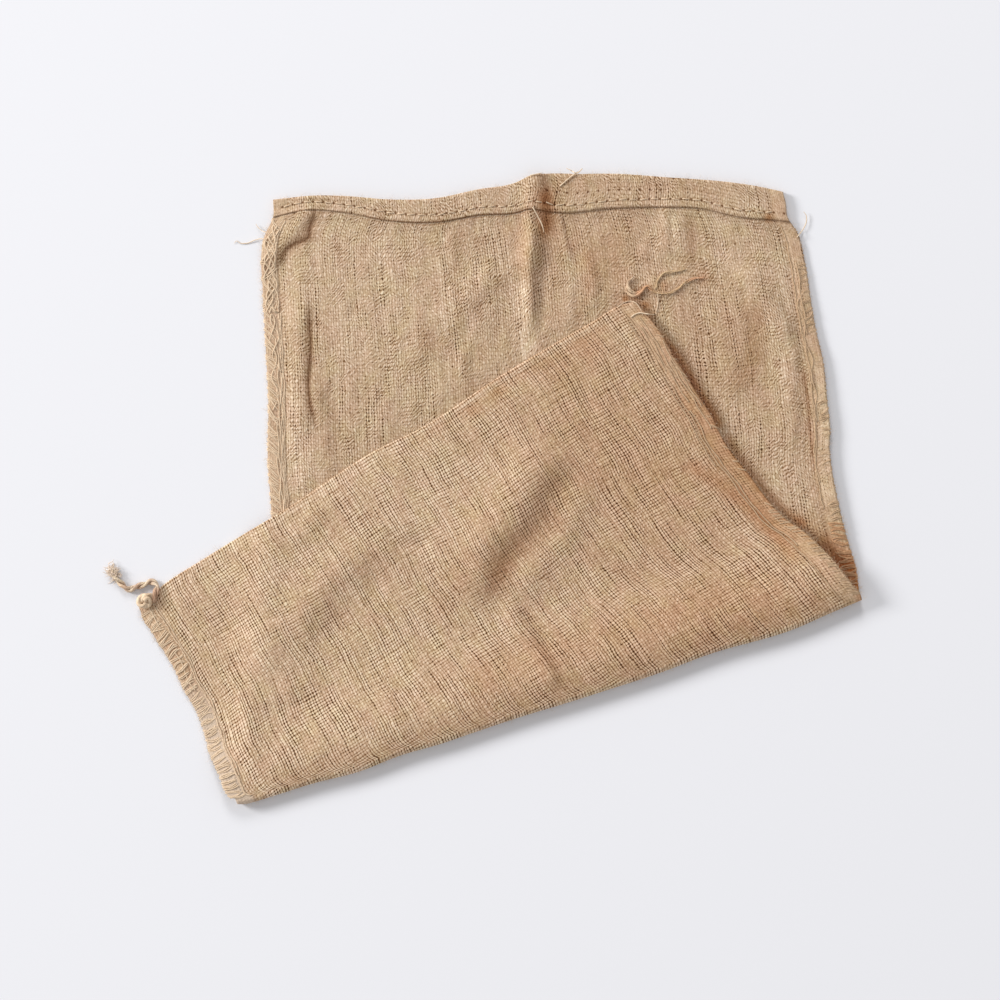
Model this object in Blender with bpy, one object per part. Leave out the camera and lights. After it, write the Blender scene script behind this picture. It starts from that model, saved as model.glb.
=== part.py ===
"""A jute sack lying flat and empty, its closed end folded up over its front.

The bag is one length of hessian, doubled at the closed end, sewn up both sides and hemmed at the
mouth. It lies with the mouth towards +Y. Its lower part is turned up along a slanting fold, so
that the closed end crosses the front of the bag. All sizes here are in millimetres, from the
middle of the ground that the sack covers; the meshes are made in metres.
"""

import bmesh
import bpy
import numpy as np

MM = 0.001

# Cloth and lay
CLOTH = 1.2  # thickness of the hessian
SLOT = 0.8  # air between the front and the back wall inside the bag
SEAM_SLOT = 0.3  # what the side seams leave of it
BAG_WIDTH = 460.0
SEAM_ALLOWANCE = 12.4  # cloth outside each seam line
HEM_TURN = 1.2  # what the turned hem adds to a wall
HEM_STEP = 1.2  # half the width of the step at the hem's edge
WALL_LOFT = 1.0  # how far an upper wall stands off the wall below it
EDGE_FADE = 25.0  # how far in from a seam that loft is reached
COVER_START = 3.0  # outside the turned part, where the front's loft starts ...
COVER_FADE = 16.0  # ... and how much further on it is whole
BEND_RADIUS = 3.6  # of the bag's middle around the fold
LAY_GAP = 0.6  # between the front under the fold and the part turned over it
BEND_SETTLE = 55.0  # how far from the fold the turned part has come down
DROOP_START = 4.0  # outside the seam edge below it, where the turned part leaves the bag ...
DROOP_END = 36.0  # ... and where it lies on the ground
EDGE_LIFT = 1.1  # more clearance over that seam edge
EDGE_LIFT_REACH = 12.0
HALF_BAG = CLOTH + SLOT / 2

# Corners of the lying bag: x, y
CORNERS = {
    "mouth_left": (-180.4, 230.1),
    "mouth_right": (226.7, 236.3),
    "fold_left": (-208.6, -252.9),
    "fold_right": (289.65, -89.9),
    "end_left": (-289.65, -95.5),
    "end_right": (109.6, 148.5),
}

# Edges between two corners: fraction of the way, sideways sway to the left of the way
EDGES = {
    "mouth": ("mouth_left", "mouth_right", (
        (0.00, 0.0), (0.08, 3.4), (0.14, 2.8), (0.23, -1.1), (0.32, -0.4), (0.40, 5.9),
        (0.48, 11.5), (0.505, 16.5), (0.54, 18.3), (0.66, 17.5), (0.78, 13.8), (0.90, 9.6),
        (0.96, 4.5), (1.00, 0.0))),
    "left_under": ("mouth_left", "fold_left", (
        (0.00, 0.0), (0.03, 0.3), (0.06, -6.0), (0.09, -7.9), (0.15, -5.3), (0.24, -0.4),
        (0.34, 4.1), (0.43, 6.2), (0.52, 12.8), (0.66, 13.5), (0.83, 9.8), (1.00, 0.0))),
    "right_under": ("mouth_right", "fold_right", (
        (0.00, 0.0), (0.06, -1.4), (0.10, 5.4), (0.17, 7.9), (0.29, 6.4), (0.41, 6.4),
        (0.52, 2.8), (0.59, 1.4), (0.66, -1.9), (0.76, -3.8), (0.86, -2.6), (0.93, -0.7),
        (1.00, 0.0))),
    "fold": ("fold_left", "fold_right", (
        (0.00, 0.0), (0.05, -2.2), (0.12, -3.0), (0.19, -5.4), (0.26, -3.2), (0.32, -4.6),
        (0.45, -2.5), (0.58, -4.7), (0.68, -4.9), (0.75, -3.3), (0.89, -5.2), (0.95, -2.1),
        (1.00, 0.0))),
    "left_turned": ("fold_left", "end_left", (
        (0.00, 0.0), (0.05, 2.2), (0.12, 3.4), (0.25, 3.2), (0.40, -1.3), (0.52, -3.4),
        (0.67, -2.2), (0.83, -0.2), (0.94, 0.6), (1.00, 0.0))),
    "end": ("end_left", "end_right", (
        (0.00, 0.0), (0.05, 4.4), (0.14, 5.4), (0.27, 4.7), (0.50, 7.6), (0.56, 4.6),
        (0.74, 6.4), (0.91, 4.7), (0.98, 3.3), (1.00, 0.0))),
    "right_turned": ("fold_right", "end_right", (
        (0.00, 0.0), (0.11, -2.4), (0.17, -1.4), (0.28, 6.2), (0.38, 8.9), (0.48, 9.5),
        (0.62, 5.4), (0.76, 1.1), (0.89, -2.1), (1.00, 0.0))),
}

# Width of the mouth hem: fraction across from the left, width
HEM_WIDTH = (
    (0.00, 14.5), (0.06, 12.0), (0.14, 14.2), (0.22, 17.2), (0.34, 20.0), (0.46, 22.4),
    (0.50, 25.0), (0.55, 31.5), (0.65, 27.4), (0.76, 23.4), (0.83, 22.8), (0.90, 28.8),
    (1.00, 25.0))

# Creases and swells: wall, half width, rise (a trough is below zero), path of (x, y)
FOLDS = (
    ("front", 4.5, 2.4, ((24.8, 245.0), (24.4, 190.0), (27.2, 126.0))),  # pucker at the hem
    ("front", 5.0, -0.9, ((34.0, 230.0), (33.0, 190.0), (34.0, 126.0))),
    ("front", 4.0, -0.9, ((-147.0, 218.0), (-158.0, 198.0), (-175.0, 184.0))),  # left corner
    ("front", 7.0, 1.8, ((-176.0, 216.0), (-160.0, 205.0))),
    ("front", 4.0, -0.8, ((-152.8, 145.0), (-152.0, 52.0))),  # beside the left seam
    ("front", 8.0, 1.0, ((-163.0, 165.0), (-162.0, 15.0))),
    ("front", 7.0, -0.9, ((-136.8, 78.0), (-136.8, 0.0))),
    ("front", 8.0, 1.6, ((135.0, 228.0), (135.0, 182.0))),
    ("front", 15.0, 1.2, ((10.0, 178.0), (-26.0, 122.0))),
    ("front", 22.0, 1.6, ((190.0, 176.0), (243.0, 122.0))),
    ("turned", 13.0, 2.4, ((72.0, 14.0), (55.0, -32.0), (22.0, -74.0), (4.0, -92.0))),
    ("turned", 16.0, 1.5, ((34.0, 34.0), (8.0, -14.0), (-28.0, -58.0))),
    ("turned", 30.0, 2.0, ((-196.0, -106.0), (-166.0, -176.0))),
    ("turned", 13.0, 2.2, ((112.0, 140.0), (188.0, 36.0), (284.0, -80.0))),  # seam edge
    ("back", 6.0, -1.2, ((-91.0, -33.0), (-78.0, -44.0), (-54.0, -47.0))),
    ("back", 7.0, -1.1, ((16.0, -96.0), (39.0, -133.0))),
    ("back", 8.0, 1.5, ((196.0, -28.0), (236.0, -71.0))),
)

FOLD_TAPER = 0.25  # share of its path over which a fold grows from each end
FOLD_END = 0.15  # how far along that growth it starts

# Columns of the mesh across the bag: from, to, how many; close where creases run along the cloth
SEAM_LINE = SEAM_ALLOWANCE / BAG_WIDTH
COLUMN_BANDS = (
    (SEAM_LINE, 0.14, 7), (0.14, 0.48, 13), (0.48, 0.555, 7), (0.555, 1 - SEAM_LINE, 16))
COLUMNS = [np.linspace(start, stop, count, endpoint=False) for start, stop, count in COLUMN_BANDS]
ACROSS = np.concatenate([[0.0], *COLUMNS, [1 - SEAM_LINE, 1.0]])

# Rows of the mesh along its three stretches, and around its two turns
ALONG_UNDER = np.linspace(0.0, 1.0, 18)
AROUND_BEND = np.radians((30, 60, 90, 120, 150))
ALONG_TURNED = np.linspace(0.0, 1.0, 14)
AROUND_END = np.radians((35, 65))
SEAM_SAMPLES = np.linspace(0.0, 1.0, 90)  # places where the left seam edge is read
FLAT_ANGLE = 0.05  # degrees between faces that count as one

# Sewing twine: diameter, route of (x, y, z)
TWINES = {
    "corner_twine": (4.4, (
        (-277.0, -91.2, 5.5), (-274.2, -84.3, 5.5), (-273.4, -78.0, 4.0), (-277.6, -75.2, 2.5),
        (-283.5, -77.4, 2.4), (-290.4, -79.4, 2.4), (-296.0, -81.4, 2.4), (-301.6, -77.2, 2.4),
        (-306.4, -72.0, 2.4), (-309.4, -66.0, 2.5))),
    "stained_twine": (2.8, (
        (108.4, 170.4, 5.8), (104.0, 165.6, 5.7), (104.8, 158.2, 5.7), (111.2, 156.2, 5.8),
        (117.0, 160.6, 5.8), (123.6, 156.4, 5.8), (135.2, 155.0, 5.9), (142.6, 158.6, 6.0),
        (149.8, 164.4, 6.2), (157.0, 167.2, 6.1), (164.4, 167.0, 6.0))),
    "stained_ply": (2.0, (
        (125.4, 158.9, 5.5), (128.4, 164.0, 5.5), (134.6, 169.4, 5.8), (144.0, 171.8, 5.9),
        (151.4, 176.4, 5.9))),
}
TWINE_STEP = 2.2  # diameters between points
END_FRAY = 0.75  # how much of the thickness is left at a free end

JUTE = (0.53, 0.36, 0.21, 1.0)
TWINE_COLOURS = {
    "corner_twine": (0.58, 0.42, 0.26, 1.0),
    "stained_twine": (0.62, 0.33, 0.08, 1.0),
    "stained_ply": (0.64, 0.36, 0.10, 1.0),
}


def smooth_step(x):
    """0 below 0, 1 above 1, smooth between."""
    x = np.clip(x, 0.0, 1.0)
    return x * x * (3 - 2 * x)


def smooth_table(rows, x):
    """A smooth curve through the rows (place, value), read at x: cubic pieces, shared slopes."""
    places, values = np.array(rows).T
    slopes = np.gradient(values, places)
    piece = np.clip(np.searchsorted(places, x, side="right") - 1, 0, len(places) - 2)
    width = places[piece + 1] - places[piece]
    t = (x - places[piece]) / width
    start = (1 + 2 * t) * (1 - t) ** 2 * values[piece] + t * (1 - t) ** 2 * width * slopes[piece]
    end = t * t * (3 - 2 * t) * values[piece + 1] - t * t * (1 - t) * width * slopes[piece + 1]
    return start + end


def level_normal(first, last):
    """The level direction to the left of the way from one corner to another."""
    way = np.subtract(CORNERS[last], CORNERS[first])
    way = way / np.linalg.norm(way)
    return np.array((-way[1], way[0]))


def fold_outward():
    """The level direction out of the bag across the fold."""
    return level_normal("fold_right", "fold_left")


def end_outward():
    """The level direction out of the bag across its closed end."""
    return level_normal("end_left", "end_right")


def edge_point(name, t):
    """The point at fraction t of a named edge, its sway added."""
    first, last, sway_rows = EDGES[name]
    a, b = np.array(CORNERS[first]), np.array(CORNERS[last])
    t = np.asarray(t)[..., None]
    return a + (b - a) * t + level_normal(first, last) * smooth_table(sway_rows, t)


def patch(low, high, left, right, u, w):
    """The plan between four edges (a Coons patch): u runs across, w from low to high."""
    ends = [np.array(CORNERS[EDGES[name][side]]) for name in (low, high) for side in (0, 1)]
    u, w = u[..., None], w[..., None]
    across = (1 - w) * edge_point(low, u[..., 0]) + w * edge_point(high, u[..., 0])
    along = (1 - u) * edge_point(left, w[..., 0]) + u * edge_point(right, w[..., 0])
    corners = ((1 - w) * ((1 - u) * ends[0] + u * ends[1]) + w * ((1 - u) * ends[2] + u * ends[3]))
    return across + along - corners


def path_distance(plan, path):
    """Distance of each plan point from a path, and how far along it the nearest place is."""
    points = np.array(path)
    lengths = np.linalg.norm(np.diff(points, axis=0), axis=1)
    best = np.full(plan.shape[:-1], np.inf)
    place = np.zeros_like(best)
    for index, length in enumerate(lengths):
        way = (points[index + 1] - points[index]) / length
        run = np.clip((plan - points[index]) @ way, 0.0, length)
        distance = np.linalg.norm(plan - points[index] - run[..., None] * way, axis=-1)
        nearer = distance < best
        best = np.where(nearer, distance, best)
        place = np.where(nearer, lengths[:index].sum() + run, place)
    return best, place / lengths.sum()


def folds(wall, plan):
    """The creases and swells of one wall: rise * exp(-(distance / half width)^2), faded at ends."""
    height = np.zeros(plan.shape[:-1])
    for name, half_width, rise, path in FOLDS:
        if name == wall:
            distance, place = path_distance(plan, path)
            fade = smooth_step(np.minimum(place, 1 - place) / FOLD_TAPER + FOLD_END)
            height += rise * fade * np.exp(-(distance / half_width) ** 2)
    return height


def outside_turned(plan):
    """How far a point lies outside the part that is turned over."""
    beyond_end = (plan - np.array(CORNERS["end_left"])) @ end_outward()
    beyond_side = (plan - np.array(CORNERS["end_right"])) @ level_normal("end_right", "fold_right")
    return np.maximum(beyond_end, beyond_side)


def outside_left_seam(plan):
    """How far a point lies to the left of the seam edge of the lower layers."""
    x, y = edge_point("left_under", SEAM_SAMPLES).T
    return np.interp(-plan[..., 1], -y, x) - plan[..., 0]


def seam_fade(u):
    """0 on a seam line, 1 well inside the bag."""
    inside = (np.minimum(u, 1 - u) - SEAM_LINE) * BAG_WIDTH
    return smooth_step(inside / EDGE_FADE)


def slot_height(u):
    """The air inside the bag, pinched towards the side seams."""
    return SEAM_SLOT + (SLOT - SEAM_SLOT) * seam_fade(u)


def walls(plan, middle, normal, half, slot, front_loft=0.0, back_loft=0.0):
    """The four skins of the bag along a stretch, set off from its middle along its normal."""
    centre = np.concatenate([plan, middle[..., None]], axis=-1)
    offsets = {
        "front_out": half + front_loft,
        "front_in": slot / 2 + front_loft,
        "back_in": -slot / 2 - back_loft,
        "back_out": -half - back_loft,
    }
    return {skin: centre + normal * offset[..., None] for skin, offset in offsets.items()}


def under_stretch():
    """From the mouth to the fold: it lies on the ground, front up, its hem turned on both walls."""
    u = ACROSS
    length = np.linalg.norm(edge_point("mouth", u) - edge_point("fold", u), axis=-1)
    hem = smooth_table(HEM_WIDTH, u)
    rows = [hem * 0, (hem - HEM_STEP) / length, (hem + HEM_STEP) / length]
    rows += [rows[2] + (1 - rows[2]) * along for along in ALONG_UNDER[1:]]
    w = np.array(rows)
    u = np.broadcast_to(u, w.shape)
    plan = patch("mouth", "fold", "left_under", "right_under", u, w)
    plan = plan - fold_outward() * (BEND_RADIUS + HALF_BAG) * (w ** 3)[..., None]
    turn = np.zeros_like(w)
    turn[:2] = HEM_TURN
    slot = slot_height(u)
    uncovered = smooth_step((outside_turned(plan) - COVER_START) / COVER_FADE)
    loft = (WALL_LOFT * seam_fade(u) + folds("front", plan)) * uncovered
    loft = np.maximum(loft, SEAM_SLOT - slot)
    half = CLOTH + turn + slot / 2
    return walls(plan, half, np.array((0.0, 0.0, 1.0)), half, slot, front_loft=loft)


def bend_stretch():
    """Around the fold: half a turn about a line inside the outer edge."""
    angle = np.repeat(AROUND_BEND[:, None], len(ACROSS), axis=1)
    u = np.broadcast_to(ACROSS, angle.shape)
    outward = fold_outward()
    reach = BEND_RADIUS * np.sin(angle) - (BEND_RADIUS + HALF_BAG)
    plan = edge_point("fold", u) + outward * reach[..., None]
    slot = slot_height(u)
    half = CLOTH + slot / 2
    middle = half + BEND_RADIUS * (1 - np.cos(angle))
    level = -np.sin(angle)[..., None] * outward
    normal = np.concatenate([level, np.cos(angle)[..., None]], axis=-1)
    return walls(plan, middle, normal, half, slot)


def turned_underside(plan, from_bend):
    """Height of the turned part's lower skin: on the bag, or down on the ground beside it."""
    out = outside_left_seam(plan)
    on_bag = 2 * HALF_BAG + LAY_GAP + folds("turned", plan)
    on_bag = on_bag + EDGE_LIFT * np.exp(-(out / EDGE_LIFT_REACH) ** 2)
    settled = on_bag * (1 - smooth_step((out - DROOP_START) / (DROOP_END - DROOP_START)))
    settled = settled + folds("turned", plan) * smooth_step(out / DROOP_END)
    near = 1 - smooth_step(from_bend / BEND_SETTLE)
    return settled + near * (2 * BEND_RADIUS - settled)


def turned_stretch():
    """From the fold to the closed end: it lies over the front, back wall up."""
    u, w = np.meshgrid(ACROSS, ALONG_TURNED)
    plan = patch("fold", "end", "left_turned", "right_turned", u, w)
    plan = plan - fold_outward() * ((BEND_RADIUS + HALF_BAG) * (1 - w) ** 3)[..., None]
    plan = plan - end_outward() * (HALF_BAG * w ** 6)[..., None]
    length = np.linalg.norm(edge_point("fold", u) - edge_point("end", u), axis=-1)
    slot = slot_height(u)
    inner = smooth_step((1 - w) * length / EDGE_FADE) * smooth_step(w * length / EDGE_FADE)
    loft = (WALL_LOFT + folds("back", plan)) * seam_fade(u) * inner
    loft = np.maximum(loft, SEAM_SLOT - slot)
    half = CLOTH + slot / 2
    middle = turned_underside(plan, w * length) + half
    return walls(plan, middle, np.array((0.0, 0.0, -1.0)), half, slot, back_loft=loft)


def rounded_end(skins):
    """Rows that close the outer skins around the closed end: a half round of the bag's height."""
    front, back = skins["front_out"][-1], skins["back_out"][-1]
    middle, half = (front + back) / 2, (back - front) / 2
    out = np.append(end_outward(), 0.0)
    for skin, side in (("front_out", -1), ("back_out", 1)):
        rows = [middle + side * half * np.cos(a) + out * HALF_BAG * np.sin(a) for a in AROUND_END]
        skins[skin] = np.concatenate([skins[skin], rows])


def sack_skins():
    """The four skins of the whole bag, mouth to closed end."""
    stretches = [under_stretch(), bend_stretch(), turned_stretch()]
    names = ("front_out", "front_in", "back_in", "back_out")
    return {name: np.concatenate([part[name] for part in stretches]) for name in names}


def strip(first, second, rising=True):
    """Triangles between two equal rows of vertex numbers, each quad cut from first to second.

    All skins are cut along the same diagonals, so that thin walls keep their thickness.
    """
    faces = []
    for i in range(len(first) - 1):
        a, b, c, d = first[i], first[i + 1], second[i + 1], second[i]
        faces += [(a, b, c), (a, c, d)] if rising else [(a, b, d), (b, c, d)]
    return faces


def sack_faces(numbers):
    """All faces of the bag: outside, slot, and the cloth's rim around the mouth."""
    front, back = numbers["front_out"], numbers["back_out"]
    inner_front, inner_back = numbers["front_in"], numbers["back_in"]
    faces = []
    for upper, lower in ((front, back), (inner_back, inner_front)):
        for row in range(len(upper) - 1):
            faces += strip(upper[row + 1], upper[row])
            faces += strip(lower[row], lower[row + 1], rising=False)
        faces += strip(lower[-1], upper[-1])
        faces += strip(lower[:, 0], upper[:, 0])
        faces += strip(upper[:, -1], lower[:, -1])
    faces += strip(front[0, 1:-1], inner_front[0]) + strip(inner_back[0], back[0, 1:-1])
    faces.append((front[0, 0], front[0, 1], inner_front[0, 0], inner_back[0, 0],
                  back[0, 1], back[0, 0]))
    faces.append((back[0, -1], back[0, -2], inner_back[0, -1], inner_front[0, -1],
                  front[0, -2], front[0, -1]))
    return faces


def material(name, colour, roughness):
    """A plain Principled material."""
    made = bpy.data.materials.new(name)
    made.use_nodes = True
    shader = made.node_tree.nodes["Principled BSDF"]
    shader.inputs["Base Color"].default_value = colour
    shader.inputs["Roughness"].default_value = roughness
    shader.inputs["Metallic"].default_value = 0.0
    return made


def add_object(name, data, colour, roughness):
    """Put a mesh or curve into the scene with its own material."""
    made = bpy.data.objects.new(name, data)
    made.data.materials.append(material(name, colour, roughness))
    bpy.context.collection.objects.link(made)
    return made


def merge_level_faces(mesh):
    """Join neighbouring faces that lie in one plane, such as those on the ground."""
    shell = bmesh.new()
    shell.from_mesh(mesh)
    bmesh.ops.dissolve_limit(shell, angle_limit=np.radians(FLAT_ANGLE), verts=shell.verts,
                             edges=shell.edges)
    shell.to_mesh(mesh)
    shell.free()


def build_sack():
    """The bag: one closed shell of cloth with the slot inside open at the mouth."""
    skins = sack_skins()
    for skin in ("front_in", "back_in"):
        skins[skin] = skins[skin][:-1, 1:-1]
    rounded_end(skins)
    numbers, count = {}, 0
    for skin, points in skins.items():
        numbers[skin] = count + np.arange(points[..., 0].size).reshape(points.shape[:2])
        count += numbers[skin].size
    points = np.concatenate([skin.reshape(-1, 3) for skin in skins.values()]) * MM
    mesh = bpy.data.meshes.new("sack")
    mesh.from_pydata(points.tolist(), [], [tuple(map(int, f)) for f in sack_faces(numbers)])
    merge_level_faces(mesh)
    add_object("sack", mesh, JUTE, 0.95)


def smooth_route(route, step):
    """Points at even steps on a smooth curve through a route."""
    route = np.array(route)
    travel = np.append(0.0, np.cumsum(np.linalg.norm(np.diff(route, axis=0), axis=1)))
    fine = np.linspace(0.0, travel[-1], 400)
    curve = np.stack([smooth_table(np.stack([travel, axis], axis=1), fine) for axis in route.T], 1)
    run = np.append(0.0, np.cumsum(np.linalg.norm(np.diff(curve, axis=0), axis=1)))
    even = np.linspace(0.0, run[-1], int(np.ceil(run[-1] / step)) + 1)
    return np.stack([np.interp(even, run, axis) for axis in curve.T], axis=1)


def build_twine(name, diameter, route):
    """A loose end of sewing twine: a tube along its route, thinner at the free end."""
    points = smooth_route(route, TWINE_STEP * diameter)
    curve = bpy.data.curves.new(name, "CURVE")
    curve.dimensions = "3D"
    curve.bevel_depth = diameter / 2 * MM
    curve.bevel_resolution = 2
    curve.use_fill_caps = True
    spline = curve.splines.new("POLY")
    spline.points.add(len(points) - 1)
    for place, point in zip(spline.points, points):
        place.co = (*(point * MM), 1.0)
    spline.points[-1].radius = END_FRAY
    add_object(name, curve, TWINE_COLOURS[name], 0.9)


for old in list(bpy.data.objects):
    bpy.data.objects.remove(old, do_unlink=True)
build_sack()
for twine_name, (twine_diameter, twine_route) in TWINES.items():
    build_twine(twine_name, twine_diameter, twine_route)
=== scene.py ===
import bpy
import numpy as np
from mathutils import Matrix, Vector


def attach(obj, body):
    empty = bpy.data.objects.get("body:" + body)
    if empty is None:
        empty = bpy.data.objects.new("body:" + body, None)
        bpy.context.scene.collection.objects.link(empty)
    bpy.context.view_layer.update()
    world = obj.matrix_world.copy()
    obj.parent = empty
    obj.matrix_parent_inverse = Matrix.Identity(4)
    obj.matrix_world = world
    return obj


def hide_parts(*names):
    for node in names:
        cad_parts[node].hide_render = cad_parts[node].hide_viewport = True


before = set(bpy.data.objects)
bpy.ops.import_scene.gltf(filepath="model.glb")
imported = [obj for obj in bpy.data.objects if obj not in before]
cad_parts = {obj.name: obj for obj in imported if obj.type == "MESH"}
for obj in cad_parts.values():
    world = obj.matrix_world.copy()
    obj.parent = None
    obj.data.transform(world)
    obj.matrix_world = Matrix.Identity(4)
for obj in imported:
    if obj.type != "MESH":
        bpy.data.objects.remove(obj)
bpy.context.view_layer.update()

# Overhead view: a long lens straight above the lying sack, so that its low folds hardly lean
# outwards. All sizes in the sections below are in millimetres, and turned to metres by MM.
MM = 0.001
VIEW_HEIGHT = 3.0
FRAME_WIDTH = 0.8
SENSOR = 36.0

camera_data = bpy.data.cameras.new("overhead")
camera_data.sensor_width = SENSOR
camera_data.lens = SENSOR * VIEW_HEIGHT / FRAME_WIDTH
camera = bpy.data.objects.new("overhead", camera_data)
camera.location = (0.8 * MM, -9.9 * MM, VIEW_HEIGHT)
bpy.context.scene.collection.objects.link(camera)
bpy.context.scene.camera = camera

# Loose ends of the side-seam twine: two-ply jute, laid up hard and left to hang out of both
# seams at the bag's closed end. The one at the left corner is thick and pale and ends in a
# tuft; the one at the right corner is thin, has come apart into its plies and is stained orange.
TWINES = {  # diameter, length of the lay, route
    "corner_twine": (4.4, 19, (
        (-277, -91.2, 5.5), (-274.2, -84.3, 5.5), (-273.4, -78, 4), (-277.6, -75.2, 2.5),
        (-283.5, -77.4, 2.4), (-290.4, -79.4, 2.4), (-296, -81.4, 2.4), (-301.6, -77.2, 2.4),
        (-306.4, -72, 2.4), (-309.4, -66, 2.5))),
    "stained_twine": (2.8, 34, (
        (107.6, 167.6, 6), (103.4, 163.6, 5.8), (103.6, 157.4, 5.7), (108.6, 154.2, 5.7),
        (113.6, 156.6, 5.8), (118, 160.4, 5.8), (123.6, 156.4, 5.8), (135.2, 155, 5.9),
        (142.6, 158.6, 6), (149.8, 164.4, 6.2), (157, 167.2, 6.1), (164.4, 167, 6))),
    "stained_ply": (2.0, 40, (
        (125.4, 158.9, 5.5), (126.6, 165.2, 5.5), (131, 170.6, 5.8), (138.6, 172.4, 5.9),
        (149, 174.2, 5.7))),
}
TWINE_COLOURS = {  # dark and light fibres
    "corner_twine": ((0.22, 0.125, 0.08), (0.92, 0.78, 0.63)),
    "stained_twine": ((0.20, 0.10, 0.05), (0.93, 0.72, 0.52)),
    "stained_ply": ((0.17, 0.085, 0.03), (0.88, 0.66, 0.42)),
}
TWINE_TINTS = {  # millimetres along the twine, colour
    "corner_twine": (
        (0, (0.8, 0.66, 0.58)), (10, (0.78, 0.62, 0.54)), (15, (1, 1, 0.95)), (20, (0.82, 0.72, 0.66)),
        (26, (0.98, 0.98, 0.9)), (31, (0.8, 0.66, 0.6)), (37, (1, 1, 0.96)), (43, (0.84, 0.7, 0.62)),
        (50, (1, 1, 0.92))),
    "stained_twine": (
        (0, (1, 1, 1)), (17, (1, 0.98, 0.94)), (21, (0.86, 0.66, 0.56)), (33, (0.8, 0.62, 0.5)),
        (38, (0.94, 0.88, 0.74)), (64, (0.92, 0.86, 0.72)), (71, (0.92, 0.72, 0.62)),
        (82, (0.95, 0.76, 0.68))),
    "stained_ply": None,
}
TWINE_FULLNESS = {  # share of the twine's length, share of its thickness
    "corner_twine": ((0, 1.25), (0.5, 1.2), (0.85, 1.2), (1, 0.95)),
    "stained_twine": ((0, 0.7), (0.05, 1.2), (0.1, 1.75), (0.22, 1.85), (0.34, 1.3),
                      (0.42, 0.85), (0.85, 0.85), (1, 0.7)),
    "stained_ply": ((0, 0.95), (0.8, 0.95), (1, 0.7)),
}
PLY_OFFSET, PLY_RADIUS = 0.46, 0.54  # of the twine's radius


class Reckoned:
    """A shader value that can be reckoned with: each operation adds one Math node."""

    def __init__(self, socket):
        self.socket = socket
        self.tree = socket.id_data

    def math(self, operation, *others):
        node = self.tree.nodes.new("ShaderNodeMath")
        node.operation = operation
        for place, value in zip(node.inputs, (self, *others)):
            lead(value, place)
        return Reckoned(node.outputs[0])

    def __add__(self, other):
        return self.math("ADD", other)

    def __sub__(self, other):
        return self.math("SUBTRACT", other)

    def __mul__(self, other):
        return self.math("MULTIPLY", other)

    def floor(self):
        return self.math("FLOOR")

    def fraction(self):
        return self.math("FRACT")

    def size(self):
        """The value without its sign."""
        return self.math("ABSOLUTE")

    def between(self, low, high):
        """0 at low, 1 at high, smooth between."""
        node = self.tree.nodes.new("ShaderNodeMapRange")
        node.interpolation_type = "SMOOTHSTEP"
        for name, value in (("Value", self), ("From Min", low), ("From Max", high)):
            lead(value, node.inputs[name])
        return Reckoned(node.outputs["Result"])


def lead(value, place):
    """Links a reckoned value or a socket to a node's input, or sets numbers or a colour there."""
    value = value.socket if isinstance(value, Reckoned) else value
    if isinstance(value, bpy.types.NodeSocket):
        place.id_data.links.new(value, place)
    else:
        place.default_value = (*value, 1.0) if isinstance(value, tuple) else value


def parts(vector):
    """The three parts of a vector socket."""
    split = vector.id_data.nodes.new("ShaderNodeSeparateXYZ")
    lead(vector, split.inputs[0])
    return [Reckoned(output) for output in split.outputs]


def own_vector(tree, name):
    """The three parts of a vector that the mesh carries at its vertices."""
    node = tree.nodes.new("ShaderNodeAttribute")
    node.attribute_name = name
    return parts(node.outputs["Vector"])


def noise(x, y, z=0.0, scale=1.0, detail=0.0, channels=False):
    """Smooth noise at (x, y, z), near 0.5 on average; with channels, three of them at once."""
    spot = x.tree.nodes.new("ShaderNodeCombineXYZ")
    for place, value in zip(spot.inputs, (x, y, z)):
        lead(value, place)
    node = x.tree.nodes.new("ShaderNodeTexNoise")
    for name, value in (("Vector", spot.outputs[0]), ("Scale", scale), ("Detail", detail)):
        lead(value, node.inputs[name])
    return parts(node.outputs[1]) if channels else Reckoned(node.outputs[0])


def ramp(value, *stops):
    """A colour for each value: stops are (place, (red, green, blue))."""
    node = value.tree.nodes.new("ShaderNodeValToRGB")
    elements = node.color_ramp.elements
    while len(elements) < len(stops):
        elements.new(0.5)
    for element, (place, colour) in zip(elements, stops):
        element.position = place
        element.color = (*colour, 1.0)
    lead(value, node.inputs[0])
    return node.outputs[0]


def blended(colour, second, share=1.0, blend_type="MULTIPLY"):
    """A colour multiplied by a second one, or mixed with it: a socket or three numbers."""
    node = colour.id_data.nodes.new("ShaderNodeMix")
    node.data_type = "RGBA"
    node.blend_type = blend_type
    for number, value in ((0, share), (6, colour), (7, second)):
        lead(value, node.inputs[number])
    return node.outputs[2]


def new_finish(name, roughness):
    """A Principled material with hardly any shine, and its node tree."""
    made = bpy.data.materials.new(name)
    made.use_nodes = True
    shader = made.node_tree.nodes["Principled BSDF"]
    shader.inputs["Roughness"].default_value = roughness
    shader.inputs["Specular IOR Level"].default_value = 0.05
    return made, made.node_tree, shader


def bump(shader, height, distance, strength=1.0):
    """Leads a height in millimetres of relief into the shader's normal."""
    node = height.tree.nodes.new("ShaderNodeBump")
    for name, value in (("Strength", strength), ("Distance", distance * MM), ("Height", height)):
        lead(value, node.inputs[name])
    lead(node.outputs[0], shader.inputs["Normal"])


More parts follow.
